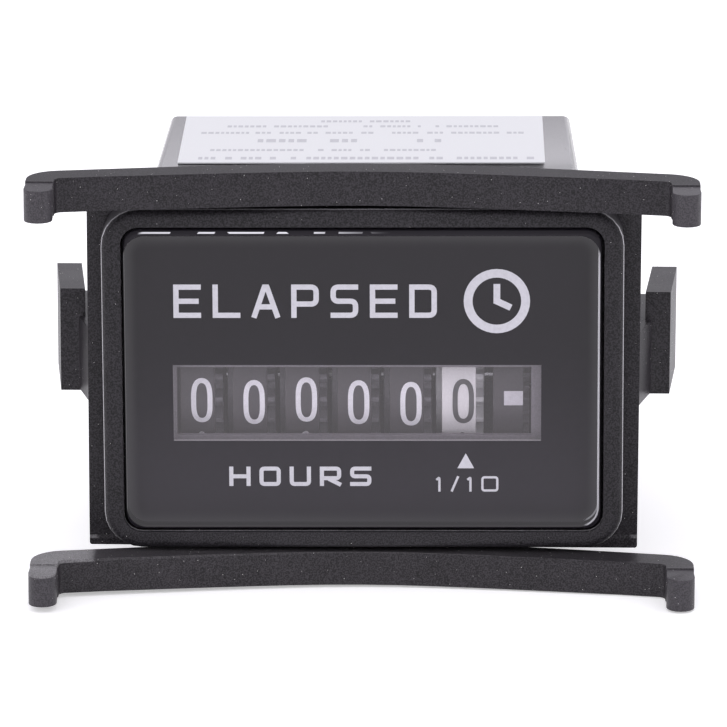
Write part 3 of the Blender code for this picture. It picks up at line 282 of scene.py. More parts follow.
case_plastic = moulded("case_plastic_moulded", (0.018, 0.0163, 0.019), 0.5, contrast=0.85)
case_plastic.set(Coat_Weight=case_plastic.axis("Y").above(COAT_FROM))
case_plastic.set(Coat_Roughness=COAT_ROUGHNESS)
clip_plastic = moulded("clip_plastic_moulded", (0.0225, 0.0202, 0.0235), 0.4, contrast=0.75)
frame_plastic = moulded("frame_plastic_moulded", (0.19, 0.18, 0.2), 0.5, contrast=0.1)
wheel_black = moulded("wheel_plastic_black", (0.062, 0.058, 0.065), 0.35, depth=0.003 * MM, contrast=0.1)
wheel_white = moulded("wheel_plastic_white", (0.84, 0.83, 0.84), 0.3, depth=0.003 * MM, contrast=0.04)
gear_plastic = moulded("gear_plastic_natural", (0.72, 0.69, 0.6), 0.45, depth=0.004 * MM, contrast=0.05)
print("plastics:", len(bpy.data.materials))

# %% [markdown]
# ### Painted light and shade on the mouldings
#
# Some places on the mouldings are painted paler than plain black, to stand for how light falls on
# them. The bezel's outer edge carries a thin painted highlight along its radius, which fades at the
# top as painted shade under the upper bow. The bezel's lower side and the lower bow are painted a
# shade paler, as light comes back from the floor. The clip's feet, which stand forward and catch
# the front light, are painted greyer as lit. The top of the lower bow is painted pale where it
# mirrors the white room, most of it at the ends and little where the ring above it shades it. The
# top of the upper bow is duller, and the wheels' carry rims are painted a paler grey than the drums,
# to lift the shade between the drums. Each is a mask made from coordinates, so it follows the
# solid. A pair of lengths says where a mask is 0 and where it is 1, or, for a line, where the line
# begins and ends.

# %% Paint light on the edge, the feet, the lower bow and the rims
PAINTED_LIGHT_GRAIN = 0.12 * MM
EDGE_HIGHLIGHT = (0.4 * MM, 0.62 * MM)
EDGE_BLUR = 0.04 * MM
EDGE_BOW_SHADE = (12.4 * MM, 13.6 * MM)
EDGE_SHADE_LOSS = 0.6
CASE_FLOOR_LIGHT = (-11.5 * MM, -12.8 * MM)
CLIP_FLOOR_LIGHT = (-13.5 * MM, -14.5 * MM)
FEET_FRONT_LIGHT = (-7.6 * MM, -8.3 * MM)
BOW_TOP = (-14.8 * MM, -14.5 * MM)
BOW_BLUR = 0.1 * MM
BOW_ENDS = (21.9 * MM, 22.4 * MM)
LIT_SHARE_UNDER_RING = 0.12
DULL_BELOW_TOP = (0.5 * MM, 0.3 * MM)
DULL = 0.13
RIM_DEPTH = 0.1 * MM


def worn(finish, mask, colour, contrast=0.35):
    """Lays a second tint over the first where the mask is 1, as painted light."""
    pale = tinted(finish, colour, PAINTED_LIGHT_GRAIN, contrast)
    finish.colour = finish.blend(mask, finish.colour, pale)
    finish.set(Base_Color=finish.colour)


up = case_plastic.axis("Z")
depth = case_plastic.axis("Y") - edges_of("case_body")[1][0]
# Painted highlight on the bezel's outer radius, faded at the top as painted shade under the bow.
edge_highlight = case_plastic.band(depth, *EDGE_HIGHLIGHT, EDGE_BLUR)
edge_highlight = edge_highlight * (1.0 - EDGE_SHADE_LOSS * case_plastic.ramp(up, *EDGE_BOW_SHADE))
# Painted light: the bezel's lower side a shade paler, as lit from the floor.
worn(case_plastic, case_plastic.ramp(up, *CASE_FLOOR_LIGHT), (0.0225, 0.0205, 0.0237), contrast=0.8)
worn(case_plastic, edge_highlight, (0.5, 0.49, 0.51))

up = clip_plastic.axis("Z")
bow_top = clip_plastic.band(up, *BOW_TOP, BOW_BLUR)
ends = clip_plastic.ramp(clip_plastic.axis("X").size(), *BOW_ENDS)
# Painted light: the lower bow a shade paler, as lit from the floor.
worn(clip_plastic, clip_plastic.ramp(up, *CLIP_FLOOR_LIGHT), (0.029, 0.0262, 0.0295), contrast=0.7)
# Painted light: the feet greyer, as they stand forward and catch the front light.
worn(clip_plastic, clip_plastic.ramp(clip_plastic.axis("Y"), *FEET_FRONT_LIGHT), (0.056, 0.052, 0.058))
# Painted reflection: the lower bow's top pale, full at the ends and faint where the ring shades it.
worn(clip_plastic, bow_top * (LIT_SHARE_UNDER_RING + (1 - LIT_SHARE_UNDER_RING) * ends), (0.18, 0.175, 0.18))
clip_top = edges_of("mounting_clip")[2][1]
dull = clip_plastic.ramp(up, *[clip_top - below for below in DULL_BELOW_TOP])
clip_plastic.set(Roughness=clip_plastic.gloss + DULL * dull)

from_axis_y = wheel_black.axis("Y") - wheel_axis.y
from_axis_z = wheel_black.axis("Z") - wheel_axis.z
reach = (from_axis_y * from_axis_y + from_axis_z * from_axis_z).root()
# Painted light: the carry rims paler, to lift the shade between the drums.
worn(wheel_black, 1.0 - reach.above(drum_radius - RIM_DEPTH), (0.2, 0.19, 0.21), contrast=0.1)
print("carry rims begin at a radius of mm:", round((drum_radius - RIM_DEPTH) / MM, 2))

# %% [markdown]
# ## Dial, print and label
#
# The dial is a dark printed sheet behind a clear lens. Most of what the eye reads as its grey is
# the lens mirroring the room. The sheet itself is slightly mottled, and painted paler towards its
# foot as light from the floor mirrored in the lens. Its cut edge in the window is pale. Ink is
# opaque, with a cover that is never quite even, and the label is white paper whose fibres show only
# up close.

# %% Print and paper
MOTTLE = 0.5 * MM
MOTTLE_REACH = 4 * MM
DIAL_LIGHT_FADE = (-13 * MM, 5 * MM)
CUT_DEPTH = 0.03 * MM
INK_PATCH = 0.3 * MM
INK_EDGES = (0.3, 0.6)
INK_THIN = 0.92
INK_DEPTH = 0.001 * MM
FIBRE = 0.08 * MM
FIBRE_DEPTH = 0.003 * MM

dial_print = Finish("dial_sheet_print", (0.02, 0.018, 0.022), roughness=0.55)
mottle = dial_print.noise(MOTTLE, detail=3.0) - 0.5
# Painted light: the sheet is paler towards its foot.
height = dial_print.ramp(dial_print.axis("Z") + MOTTLE_REACH * mottle, *DIAL_LIGHT_FADE)
sheet_painted_light = dial_print.blend(height, (0.0255, 0.0215, 0.0285), (0.0065, 0.0045, 0.008))
cut_edge = dial_print.axis("Y").above(dial_face + CUT_DEPTH)
dial_print.set(Base_Color=dial_print.blend(cut_edge, sheet_painted_light, (0.3, 0.29, 0.31)))
dial_print.set(Specular_IOR_Level=0.08)


def ink(name, colour):
    """Screen-printed ink, slightly uneven in cover."""
    finish = Finish(name, colour, roughness=0.45)
    cover = finish.noise(INK_PATCH, detail=3.0)
    thin = [c * INK_THIN for c in colour]
    finish.set(Base_Color=finish.blend(finish.ramp(cover, *INK_EDGES), thin, colour))
    finish.bump(cover, INK_DEPTH)
    return finish


silver_ink = ink("silver_print", (0.69, 0.68, 0.725))
digit_white = ink("digit_print_white", (0.92, 0.92, 0.96))
digit_grey = ink("digit_print_grey", (0.07, 0.07, 0.075))
label_grey = ink("label_print_grey", (0.53, 0.53, 0.56))
label_paper = Finish("label_paper", (0.74, 0.75, 0.76), roughness=0.45)
fibre = label_paper.noise(FIBRE, detail=4.0)
label_paper.set(Base_Color=label_paper.blend(fibre, (0.71, 0.72, 0.73), (0.77, 0.78, 0.79)))
label_paper.bump(fibre, FIBRE_DEPTH)
print("dial and inks:", len(bpy.data.materials), "finishes so far")

# %% [markdown]
# ### The lens and its rim
#
# Looking through the pane one sees the dial, but at its rim one sees its own rounded edge. The dark
# band along the top and the thin dark lines elsewhere are painted shade, an opaque near-black shader
# for the bezel's shade seen through the edge; just inside the rim a faint painted glow is added to
# the veil, and there are glints. A distance from a rounded rectangle, worked out in the shader, says
# how far each point lies from the clear field. A pane this thin bends light too little to show, so
# light goes straight through it. The room is white on every side, so what the pane mirrors is plain
# white at the Fresnel share, and a white veil mixed in at that share is the same picture as a true
# reflection, without its noise. Only the front face mirrors, because light that meets the rear face
# unbent would seem to be caught inside the pane.

# %% Clear lens with a visible rim
RIM = {"left": 0.06 * MM, "right": 0.17 * MM, "bottom": 0.2 * MM, "top": 0.55 * MM}
RIM_CORNER = 1.7 * MM
RIM_BLUR = 0.04 * MM
RIM_GLOW = 0.014
RIM_GLOW_FADE = (-1.1 * MM, -0.1 * MM)
PANE_TINT = (0.985, 0.985, 0.99, 1.0)
PANE_COLOUR = (0.9, 0.9, 0.94)
PANE_ROUGHNESS = 0.25


def beyond(value, edges):
    """How far a coordinate lies beyond a field's straight sides, or 0."""
    half = (edges[1] - edges[0]) / 2 - RIM_CORNER
    return ((value - sum(edges) / 2).size() - half).largest(0.0)


def outside_field(finish, across, up):
    """The distance outside a rounded rectangle, negative just inside it."""
    x = beyond(finish.axis("X"), across)
    z = beyond(finish.axis("Z"), up)
    return (x * x + z * z).root() - RIM_CORNER


def veiled(finish, middle_y, index, veil_colour, rim_glow=0.0):
    """A see-through shader whose front face carries a pale veil at the Fresnel share, plus any painted rim glow.
    """
    through = finish.add("ShaderNodeBsdfTransparent", None, {"Color": PANE_TINT}).value("BSDF")
    veil = finish.add("ShaderNodeEmission", None, {"Color": (*veil_colour, 1.0)}).value("Emission")
    in_front = 1.0 - finish.axis("Y").above(middle_y)
    mirrors = in_front * finish.add("ShaderNodeFresnel", None, {"IOR": index}).value("Fac")
    return finish.layered(mirrors + rim_glow, through, veil)


lens_x, lens_y, lens_z = edges_of("lens")
lens_clear = Finish("lens_clear", PANE_COLOUR, PANE_ROUGHNESS)
field_x = (lens_x[0] + RIM["left"], lens_x[1] - RIM["right"])
field_z = (lens_z[0] + RIM["bottom"], lens_z[1] - RIM["top"])
away = outside_field(lens_clear, field_x, field_z)
# Painted shade: the rim mask swaps the clear pane for a near-black shader.
rim = lens_clear.ramp(away, -RIM_BLUR, RIM_BLUR)
# Painted light: a faint glow just inside the rim, added to the veil.
rim_glow = RIM_GLOW * lens_clear.ramp(away, *RIM_GLOW_FADE)
middle = sum(lens_y) / 2
pane = veiled(lens_clear, middle, index=1.5, veil_colour=(0.97, 0.95, 1.0), rim_glow=rim_glow)
painted_rim_shade = {"Base Color": (0.012, 0.01, 0.014, 1.0), "Roughness": 0.4, "Specular IOR Level": 0.2}
dark = lens_clear.add("ShaderNodeBsdfPrincipled", None, painted_rim_shade).value("BSDF")
pane = lens_clear.layered(rim, pane, dark)
print("lens rim mm:", [round(r / MM, 2) for r in RIM.values()])

# %% [markdown]
# ### Glints
#
# The pane's rounded edge catches the lamps as a broken bright line along the top, strongest at the
# left, and as a fainter one at the right corner. The breaks come from slow noise, so that no dash
# repeats, and masks on the coordinates say where each line may run.

# %% Glints on the rim
DASH = 2.0 * MM
DASH_LEVEL = 0.49
TOP_FROM_RIGHT = (2.5 * MM, -6 * MM)
TOP_FROM_LEFT = (-18.3 * MM, -17.8 * MM)
TOP_FROM_BELOW = (11.5 * MM, 12 * MM)
TOP_LINE = 0.27 * MM
TOP_HALF = (0.05 * MM, 0.08 * MM)
SIDE_FROM_LEFT = (18 * MM, 18.6 * MM)
SIDE_FROM_ABOVE = (10.9 * MM, 10.4 * MM)
SIDE_LINE = -0.06 * MM
SIDE_HALF = (0.05 * MM, 0.09 * MM)
SIDE_SHARE = 0.5


def line_along(finish, distance, middle, half):
    """1 on a thin line where the distance is middle; half is where it starts and ends to fade."""
    return 1.0 - finish.ramp((distance - middle).size(), *half)


x = lens_clear.axis("X")
z = lens_clear.axis("Z")
along_top = lens_clear.ramp(x, *TOP_FROM_RIGHT) * lens_clear.ramp(x, *TOP_FROM_LEFT)
along_top = along_top * lens_clear.ramp(z, *TOP_FROM_BELOW)
top = along_top * line_along(lens_clear, away, TOP_LINE, TOP_HALF)
at_side = lens_clear.ramp(x, *SIDE_FROM_LEFT) * lens_clear.ramp(z, *SIDE_FROM_ABOVE)
side = at_side * line_along(lens_clear, away, SIDE_LINE, SIDE_HALF)
dashes = lens_clear.noise(DASH, detail=0.0).above(DASH_LEVEL)
glints = (dashes * top).largest(SIDE_SHARE * side)
bright = Value(lens_clear, lens_clear.shader.outputs["BSDF"])
lens_clear.feed(lens_clear.output, {"Surface": lens_clear.layered(glints, pane, bright)})
print("glints on", lens_clear.material.name)

# %% [markdown]
# ## Metals and the parts on the board
#
# Behind the dial everything is functional: ground steel shafts, a stamped stator, tinned brass
# blades, a green board. Metals get fine streaks along one axis, which is noise squeezed that way.

# %% Metals
STREAK_GLOSS = 0.25
STREAK_DARK = 0.85
STREAK_DEPTH = 0.002 * MM


def streaked(name, colour, roughness, squeeze=(1, 12, 12), size=0.6 * MM, metallic=1.0):
    """A metal with fine streaks, long where squeeze is small."""
    finish = Finish(name, colour, roughness, metallic)
    inputs = {"Vector": finish.place, "Scale": squeeze}
    stretched = finish.add("ShaderNodeMapping", None, inputs).value("Vector")
    inputs = {"Vector": stretched, "Scale": 1.0 / size, "Detail": 4.0}
    streaks = finish.add("ShaderNodeTexNoise", None, inputs).value("Fac")
    finish.set(Roughness=roughness + STREAK_GLOSS * (streaks - 0.5))
    finish.set(Base_Color=finish.blend(streaks, [c * STREAK_DARK for c in colour], colour))
    finish.bump(streaks, STREAK_DEPTH)
    return finish


ground_steel = streaked("steel_ground", (0.6, 0.6, 0.61), 0.28)
lamination = streaked("stator_lamination", (0.5, 0.5, 0.52), 0.4, (12, 1, 1))
tinned = streaked("terminal_tinned", (0.78, 0.77, 0.74), 0.3, (6, 1, 6), 1.2 * MM)
can_metal = streaked("crystal_can", (0.72, 0.72, 0.74), 0.25)
copper = streaked("winding_copper", (0.72, 0.3, 0.12), 0.35, (1, 8, 1), 0.4 * MM, 0.9)
print("finishes with the metals:", len(bpy.data.materials))

# %% [markdown]
# ### Small parts
#
# The magnet, the coil's bobbin and the parts on the board are plain mouldings, and the board is
# laminate whose glass weave shows faintly through green lacquer.

# %% Small parts
WEAVE_SCALE = 900.0
WEAVE_DEPTH = 0.004 * MM

magnet = moulded("magnet_ferrite", (0.09, 0.09, 0.095), 0.6)
bobbin = moulded("bobbin_nylon", (0.7, 0.68, 0.6), 0.5)
epoxy = moulded("epoxy_black", (0.02, 0.02, 0.021), 0.45)
sleeve = moulded("capacitor_sleeve_blue", (0.04, 0.07, 0.22), 0.35)
lacquer = moulded("resistor_lacquer", (0.6, 0.45, 0.26), 0.4)
board = Finish("board_laminate", (0.03, 0.16, 0.06), roughness=0.35)
weave = board.add("ShaderNodeTexBrick", None, {"Vector": board.place, "Scale": WEAVE_SCALE}).value("Fac")
board.set(Base_Color=board.blend(weave, (0.025, 0.14, 0.05), (0.04, 0.2, 0.08)))
board.bump(weave, WEAVE_DEPTH)
print("finishes so far:", len(bpy.data.materials))

# %% [markdown]
# ### A finish for each solid
#
# The record gives every solid a material slot, such as "steel" or "case_plastic". One table says
# which finish stands for each slot, and the loop after it paints every solid.

# %% Give each solid its finish
by_slot = {
    "case_plastic": case_plastic,
    "clip_plastic": clip_plastic,
    "clear_plastic": lens_clear,
    "dial_black": dial_print,
    "wheel_black": wheel_black,
    "wheel_white": wheel_white,
    "frame_plastic": frame_plastic,
    "gear_plastic": gear_plastic,
    "steel": ground_steel,
    "stator_steel": lamination,
    "magnet": magnet,
    "bobbin_plastic": bobbin,
    "copper_wire": copper,
    "board_green": board,
    "chip_black": epoxy,
    "diode_black": epoxy,
    "can_metal": can_metal,
    "capacitor_sleeve": sleeve,
    "resistor_tan": lacquer,
    "tinned_brass": tinned,
    "label_white": label_paper,
}
slot_of = {part["node"]: part["material_slot"] for part in frame["record"]["subparts"]}
for name, solid in nodes.items():
    for painted in solid.material_slots:
        painted.material = by_slot[slot_of[name]].material
print("slots painted:", len(by_slot))

# %% [markdown]
# ## Softened copies of what shows
#
# CAD solids arrive as loose flat triangles. A real moulding has small radii that catch light, and
# its round faces are smooth. Each solid that shows is copied, its triangles are merged back into
# faces, a narrow bevel goes on its edges, and the copy takes the solid's place on the same body.

# %% Copy and soften
WHEELS = ("ten_thousands", "thousands", "hundreds", "tens", "units", "tenths")
MERGE = 0.001 * MM
FLAT = math.radians(0.3)
SHARP = math.radians(32)
BEVELLED = math.radians(40)
DRUM_EDGE = 0.04 * MM


def body_of(node):
    """The name of the body that carries a solid."""
    bodies = frame["record"]["behaviour"]["bodies"]
    return next(body for body, members in bodies.items() if node in members)


def softened(node, radius, segments=2):
    """Replaces a solid by a copy with merged faces, smooth curves and rounded edges."""
    mesh = nodes[node].data.copy()
    work = bmesh.new()
    work.from_mesh(mesh)
    bmesh.ops.remove_doubles(work, verts=work.verts, dist=MERGE)
    bmesh.ops.dissolve_limit(work, angle_limit=FLAT, verts=work.verts, edges=work.edges)
    work.to_mesh(mesh)
    work.free()
    piece = bpy.data.objects.new(node + "_soft", mesh)
    bpy.context.scene.collection.objects.link(piece)
    mesh.shade_smooth()
    mesh.set_sharp_from_angle(angle=SHARP)
    bevel = piece.modifiers.new("radius", "BEVEL")
    bevel.width = radius
    bevel.segments = segments
    bevel.limit_method = "ANGLE"
    bevel.angle_limit = BEVELLED
    bevel.harden_normals = True
    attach(piece, body_of(node))
    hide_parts(node)


softened("case_body", 0.12 * MM)
softened("mounting_clip", 0.05 * MM)
for wheel in WHEELS:
    softened("wheel_" + wheel, DRUM_EDGE, 1)
softened("indicator_wheel", DRUM_EDGE, 1)
softened("rear_cover", 0.1 * MM)

# %% [markdown]
# ## Strokes
#
# Panel lettering and counter digits are drawn with a pen of constant width. A few corner points say
# where the pen goes, the corners are rounded, and the line becomes a thin raised ribbon of ink. The
# same ribbon lies flat on the dial or wraps round a drum, depending on the function that places it.
# At a bend the ribbon's sides meet in a mitre, which is kept from running out to a long spike.

# %% Draw a pen stroke
STRIDE = 0.25 * MM
ARC_STEPS = 7
SAME_POINT = 1e-7
SHARPEST_MITRE = 0.5


def rounded(points, radius, closed=False):
    """The pen's path with each corner replaced by a short arc."""
    path = [Vector(p) for p in points]
    result = []
    count = len(path)
    for i, here in enumerate(path):
        if not closed and i in (0, count - 1):
            result.append(here)
            continue
        before = path[i - 1]
        after = path[(i + 1) % count]
        start = here + (before - here).normalized() * min(radius, (before - here).length / 2)
        end = here + (after - here).normalized() * min(radius, (after - here).length / 2)
        for step in range(ARC_STEPS + 1):
            t = step / ARC_STEPS
            result.append(start * (1 - t) ** 2 + here * 2 * t * (1 - t) + end * t ** 2)
    return result


def squared(path, reach):
    """The path made longer at both ends, so that crossing strokes meet in a full corner."""
    start = path[0] + (path[0] - path[1]).normalized() * reach
    end = path[-1] + (path[-1] - path[-2]).normalized() * reach
    return [start] + path + [end]


def stepped(path, closed):
    """The path with points added, so that it can follow a curved surface."""
    ends = path[1:] + (path[:1] if closed else [])
    result = []
    for here, after in zip(path, ends):
        steps = max(1, math.ceil((after - here).length / STRIDE))
        result += [here.lerp(after, step / steps) for step in range(steps)]
    return result if closed else result + [path[-1]]


def ribbon(work, path, width, thickness, place, closed=False):
    """Adds a raised line to a mesh; place turns (across, up, height) into a point."""
    apart = [p for i, p in enumerate(path) if i == 0 or (p - path[i - 1]).length > SAME_POINT]
    path = stepped(apart, closed)
    sections = []
    count = len(path)
    for i, here in enumerate(path):
        before = path[i - 1] if closed or i else here
        after = path[(i + 1) % count] if closed or i < count - 1 else here
        along = (after - before).normalized()
        one = (here - before).normalized() if here != before else along
        two = (after - here).normalized() if here != after else along
        mitre = math.sqrt(max(0.0, (1 + one.dot(two)) / 2))
        side = Vector((-along.y, along.x)) * (width / 2 / max(SHARPEST_MITRE, mitre))
        corners = ((here + side, 0), (here + side, thickness), (here - side, thickness), (here - side, 0))
        sections.append([work.verts.new(place(p.x, p.y, h)) for p, h in corners])
    pairs = list(zip(sections, sections[1:]))
    if closed:
        pairs.append((sections[-1], sections[0]))
    for near, far in pairs:
        for i in range(4):
            work.faces.new((near[i], near[(i + 1) % 4], far[(i + 1) % 4], far[i]))
    if not closed:
        work.faces.new(sections[0])
        work.faces.new(sections[-1])


def turns(count):
    """The angles of count equal steps round a circle."""
    return [math.tau * step / count for step in range(count)]


def finished_mesh(name, work, finish, body):
    """Turns a mesh under work into a piece that rides on a body."""
    bmesh.ops.recalc_face_normals(work, faces=work.faces)
    mesh = bpy.data.meshes.new(name)
    work.to_mesh(mesh)
    work.free()
    mesh.materials.append(finish.material)
    piece = bpy.data.objects.new(name, mesh)
    bpy.context.scene.collection.objects.link(piece)
    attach(piece, body)


print("pen stride mm:", round(STRIDE / MM, 2))

# %% [markdown]
# ## The clear sheet in the window
#
# The drums look greyer than the dial although they are blacker, because a second clear sheet lies
# over them, in the rear of the window's opening. It adds its own white veil, like the lens.

# %% Glaze the window
WINDOW_X = (-15.6 * MM, 14.6 * MM)
WINDOW_Z = (-5.64 * MM, 0.82 * MM)
SHEET = 0.1 * MM
SHEET_GAP = 0.02 * MM


def box_between(work, low, high):
    """Adds a box to a mesh, given two opposite corners."""
    bmesh.ops.create_cube(work, size=1.0)
    for corner in work.verts:
        share = [c + 0.5 for c in corner.co]
        corner.co = [a + (b - a) * s for a, b, s in zip(low, high, share)]


sheet_rear = edges_of("dial_plate")[1][1] - SHEET_GAP
sheet_clear = Finish("window_sheet_clear", PANE_COLOUR, PANE_ROUGHNESS)
middle = sheet_rear - SHEET / 2
pane = veiled(sheet_clear, middle, index=1.64, veil_colour=(1.0, 0.92, 1.0))
sheet_clear.feed(sheet_clear.output, {"Surface": pane})
work = bmesh.new()
low = (WINDOW_X[0] + SHEET_GAP, sheet_rear - SHEET, WINDOW_Z[0] + SHEET_GAP)
high = (WINDOW_X[1] - SHEET_GAP, sheet_rear, WINDOW_Z[1] - SHEET_GAP)
box_between(work, low, high)
finished_mesh("window_sheet", work, sheet_clear, "meter")
print("window mm:", [round((b - a) / MM, 2) for a, b in (WINDOW_X, WINDOW_Z)])

# %% [markdown]
# ## Plain letters
#
# Each letter is a few strokes on a field one unit wide and high. A stroke that ends where it
# started is a closed loop. These are plain square-cornered capitals and numerals, as a machine
# engraver would cut them. The stem and the loop come back in several signs, so each has a name.

# %% Letter shapes
LAYER = 0.0012 * MM
STEM = ((0, 0), (0, 1))
LOOP = ((0, 0), (0, 1), (1, 1), (1, 0), (0, 0))
LETTERS = {
    "A": (((0, 0), (0.42, 0.95)), ((0.58, 0.95), (1, 0)), ((0.48, 1), (0.52, 1)), ((0.2, 0.3), (0.8, 0.3))),
    "D": (STEM, ((0, 1), (1, 1), (1, 0), (0, 0))),
    "E": (STEM, ((0, 1), (1, 1)), ((0, 0.5), (0.9, 0.5)), ((0, 0), (1, 0))),
    "H": (STEM, ((1, 0), (1, 1)), ((0, 0.5), (1, 0.5))),
    "L": (((0, 1), (0, 0)), ((0, 0), (1, 0))),
    "O": (LOOP,),
    "P": (STEM, ((0, 1), (1, 1), (1, 0.4), (0, 0.4))),
    "R": (STEM, ((0, 1), (1, 1), (1, 0.38), (0, 0.38)), ((0.5, 0.28), (1, 0))),
    "S": (((1, 1), (0, 1), (0, 0.5), (1, 0.5), (1, 0), (0, 0)),),
    "U": (((0, 1), (0, 0), (1, 0), (1, 1)),),
    "/": (((0.1, 0), (0.9, 1)),),
    "0": (LOOP,),
    "1": (((0.2, 0.86), (0.5, 1), (0.5, 0)),),
    "2": (((0, 0.7), (0, 1), (1, 1), (1, 0.6), (0, 0), (1, 0)),),
    "3": (((0, 1), (1, 1), (1, 0.5), (0.3, 0.5)), ((0.9, 0.5), (1, 0.5), (1, 0), (0, 0))),
    "4": (((0.75, 0), (0.75, 1), (0, 0.3), (1, 0.3)),),
    "5": (((1, 1), (0, 1), (0, 0.55), (1, 0.55), (1, 0), (0, 0)),),
    "6": (((1, 1), (0, 1), (0, 0), (1, 0), (1, 0.52), (0, 0.52)),),
    "7": (((0, 1), (1, 1), (0.35, 0)),),
    "8": (LOOP, ((0, 0.5), (1, 0.5))),
    "9": (((0, 0.13), (1, 0.13), (1, 1), (0, 1), (0, 0.5), (1, 0.5)),),
}


def write(work, sign, left, bottom, width, height, pen, corner, place, thickness):
    """Draws one sign into a box, the pen's outer edge on the box, with square stroke ends.

    Each stroke is a hair thicker than the one before, so that crossing strokes never share a face.
    """
    for order, stroke in enumerate(LETTERS[sign]):
        points = []
        for u, v in stroke:
            x = left + pen / 2 + u * (width - pen)
            y = bottom + pen / 2 + v * (height - pen)
            points.append((x, y))
        closed = points[0] == points[-1]
        if closed:
            path = rounded(points[:-1], corner, True)
        else:
            path = squared(rounded(points, corner), pen / 2)
        ribbon(work, path, pen, thickness + order * LAYER, place, closed)


print("signs:", "".join(LETTERS))

# %% [markdown]
# ## Words on the dial
#
# The dial carries plain words that any such instrument could have. Each line of print is given by
# its left and right ends and its height on the dial, and its letters share that width.

# %% Print the words
INK = 0.012 * MM
SLIM_SHARE = 0.55
CORNER_SHARE = 0.16


def on_dial(x, z, height):
    """Places flat print on the dial's face."""
    return (x, dial_face - height, z)


def dial_line(name, words, ends, bottom, height, pen, gap, slim=()):
    """One line of print, its sizes in millimetres; slim signs take less room."""
    work = bmesh.new()
    shares = [SLIM_SHARE if sign in slim else 1.0 for sign in words]
    letter = (ends[1] - ends[0] - gap * (len(words) - 1)) / sum(shares)
    x = ends[0]
    for sign, share in zip(words, shares):
        sizes = [size * MM for size in (x, bottom, letter * share, height, pen, CORNER_SHARE * height)]
        write(work, sign, *sizes, on_dial, INK)
        x += letter * share + gap
    finished_mesh(name, work, silver_ink, "meter")


dial_line("print_heading", "ELAPSED", (-15.5, 6.05), bottom=4.82, height=2.82, pen=0.44, gap=0.95)
dial_line("print_hours", "HOURS", (-11.07, 0.64), bottom=-9.5, height=1.66, pen=0.34, gap=0.73)
dial_line("print_tenths", "1/10", (5.85, 11.1), bottom=-9.98, height=1.32, pen=0.19, gap=0.5, slim="1/")
print("lines of print: 3")

# %% [markdown]
# ### The clock and the arrow
#
# A clock face is a sign of what is counted, and a small solid arrow points up at the tenths. The
# hands are given by their tips, from the middle of the clock. Each hand lies a little higher than
# the ring, and the one that points aside lies higher still, so that no two share a face.

# %% Print the clock and the arrow
CLOCK = Vector((10.95 * MM, 6.23 * MM))
CLOCK_RADIUS = 2.35 * MM
CLOCK_SIDES = 40
CLOCK_PEN = 0.72 * MM
HANDS = ((0.0, 1.45), (1.15, -0.55))
HAND_PEN = 0.55 * MM
HAND_TAIL = 0.2
ARROW = ((7.72 * MM, -7.98 * MM), (9.1 * MM, -7.98 * MM), (8.41 * MM, -6.7 * MM))

work = bmesh.new()
circle = [CLOCK + CLOCK_RADIUS * Vector((math.cos(a), math.sin(a))) for a in turns(CLOCK_SIDES)]
ribbon(work, circle, CLOCK_PEN, INK, on_dial, True)
for tip in HANDS:
    path = [CLOCK - Vector(tip).normalized() * HAND_TAIL * MM, CLOCK + Vector(tip) * MM]
    ribbon(work, path, HAND_PEN, INK + (1 + tip[0]) * LAYER, on_dial)
finished_mesh("print_clock", work, silver_ink, "meter")

work = bmesh.new()
foot = [work.verts.new(on_dial(x, z, 0)) for x, z in ARROW]
face = [work.verts.new(on_dial(x, z, INK)) for x, z in ARROW]
for i in range(len(ARROW)):
    after = (i + 1) % len(ARROW)
    work.faces.new((foot[i], foot[after], face[after], face[i]))
work.faces.new(foot)
work.faces.new(face)
finished_mesh("print_arrow", work, silver_ink, "meter")
print("dial print in place")

# %% [markdown]
# ## Digits round the drums
#
# Ten digits sit round each drum, 36 degrees apart. They are hot-stamped, so they follow the drum's
# surface. A wheel that has been carried round a few times rests a few degrees off centre, each by
# its own amount, and the digits are set off by those small angles. They stand left of the middle,
# because the carry rim takes the right end of each wheel.

# %% Stamp the digits
DIGITS = 10
DIGIT_WIDTH = 1.77 * MM
DIGIT_HEIGHT = 3.88 * MM
DIGIT_PEN = 0.42 * MM
DIGIT_CORNER = 1.35 * MM
ANGULAR = "147"
ANGULAR_CORNER = 0.3 * MM
STAMP = 0.01 * MM
CARRY_RIM = 0.65 * MM
DIGIT_FROM_RIM = 1.12 * MM
RESTS = (-2.25, -3.5, -1.8, -3.65, -4.7, -2.9)


def on_drum(middle, turn):
    """Places flat print on a drum, its middle at x = middle and turn radians above the front."""
    def place(x, z, height):
        angle = turn + z / drum_radius
        reach = drum_radius + height
        y = wheel_axis.y - reach * math.cos(angle)
        return (middle + x, y, wheel_axis.z + reach * math.sin(angle))
    return place


for wheel, rest in zip(WHEELS, RESTS):
    node = "wheel_" + wheel
    middle = edges_of(node)[0][1] - CARRY_RIM - DIGIT_FROM_RIM
    work = bmesh.new()
    for digit in range(DIGITS):
        place = on_drum(middle, math.radians(rest - 360 / DIGITS * digit))
        corner = ANGULAR_CORNER if str(digit) in ANGULAR else DIGIT_CORNER
        box = (-DIGIT_WIDTH / 2, -DIGIT_HEIGHT / 2, DIGIT_WIDTH, DIGIT_HEIGHT)
        write(work, str(digit), *box, DIGIT_PEN, corner, place, STAMP)
    paint = digit_grey if wheel == "tenths" else digit_white
    finished_mesh("digits_" + wheel, work, paint, body_of(node))
print("digits on", len(RESTS), "drums")

# %% [markdown]
# ## The running mark
#
# The last drum turns many times an hour to show that the meter runs. It carries short white bars,
# one of which shows beside the tenths. Each bar is one broad stroke, drawn up the drum in a few
# rows so that it bends with the surface.

# %% Paint the running marks
MARKS = 4
MARK_ROWS = 4
MARK_WIDTH = 1.56 * MM
MARK_HEIGHT = 1.22 * MM
MARK_MIDDLE = 1.68 * MM
MARK_REST = math.radians(0.4)

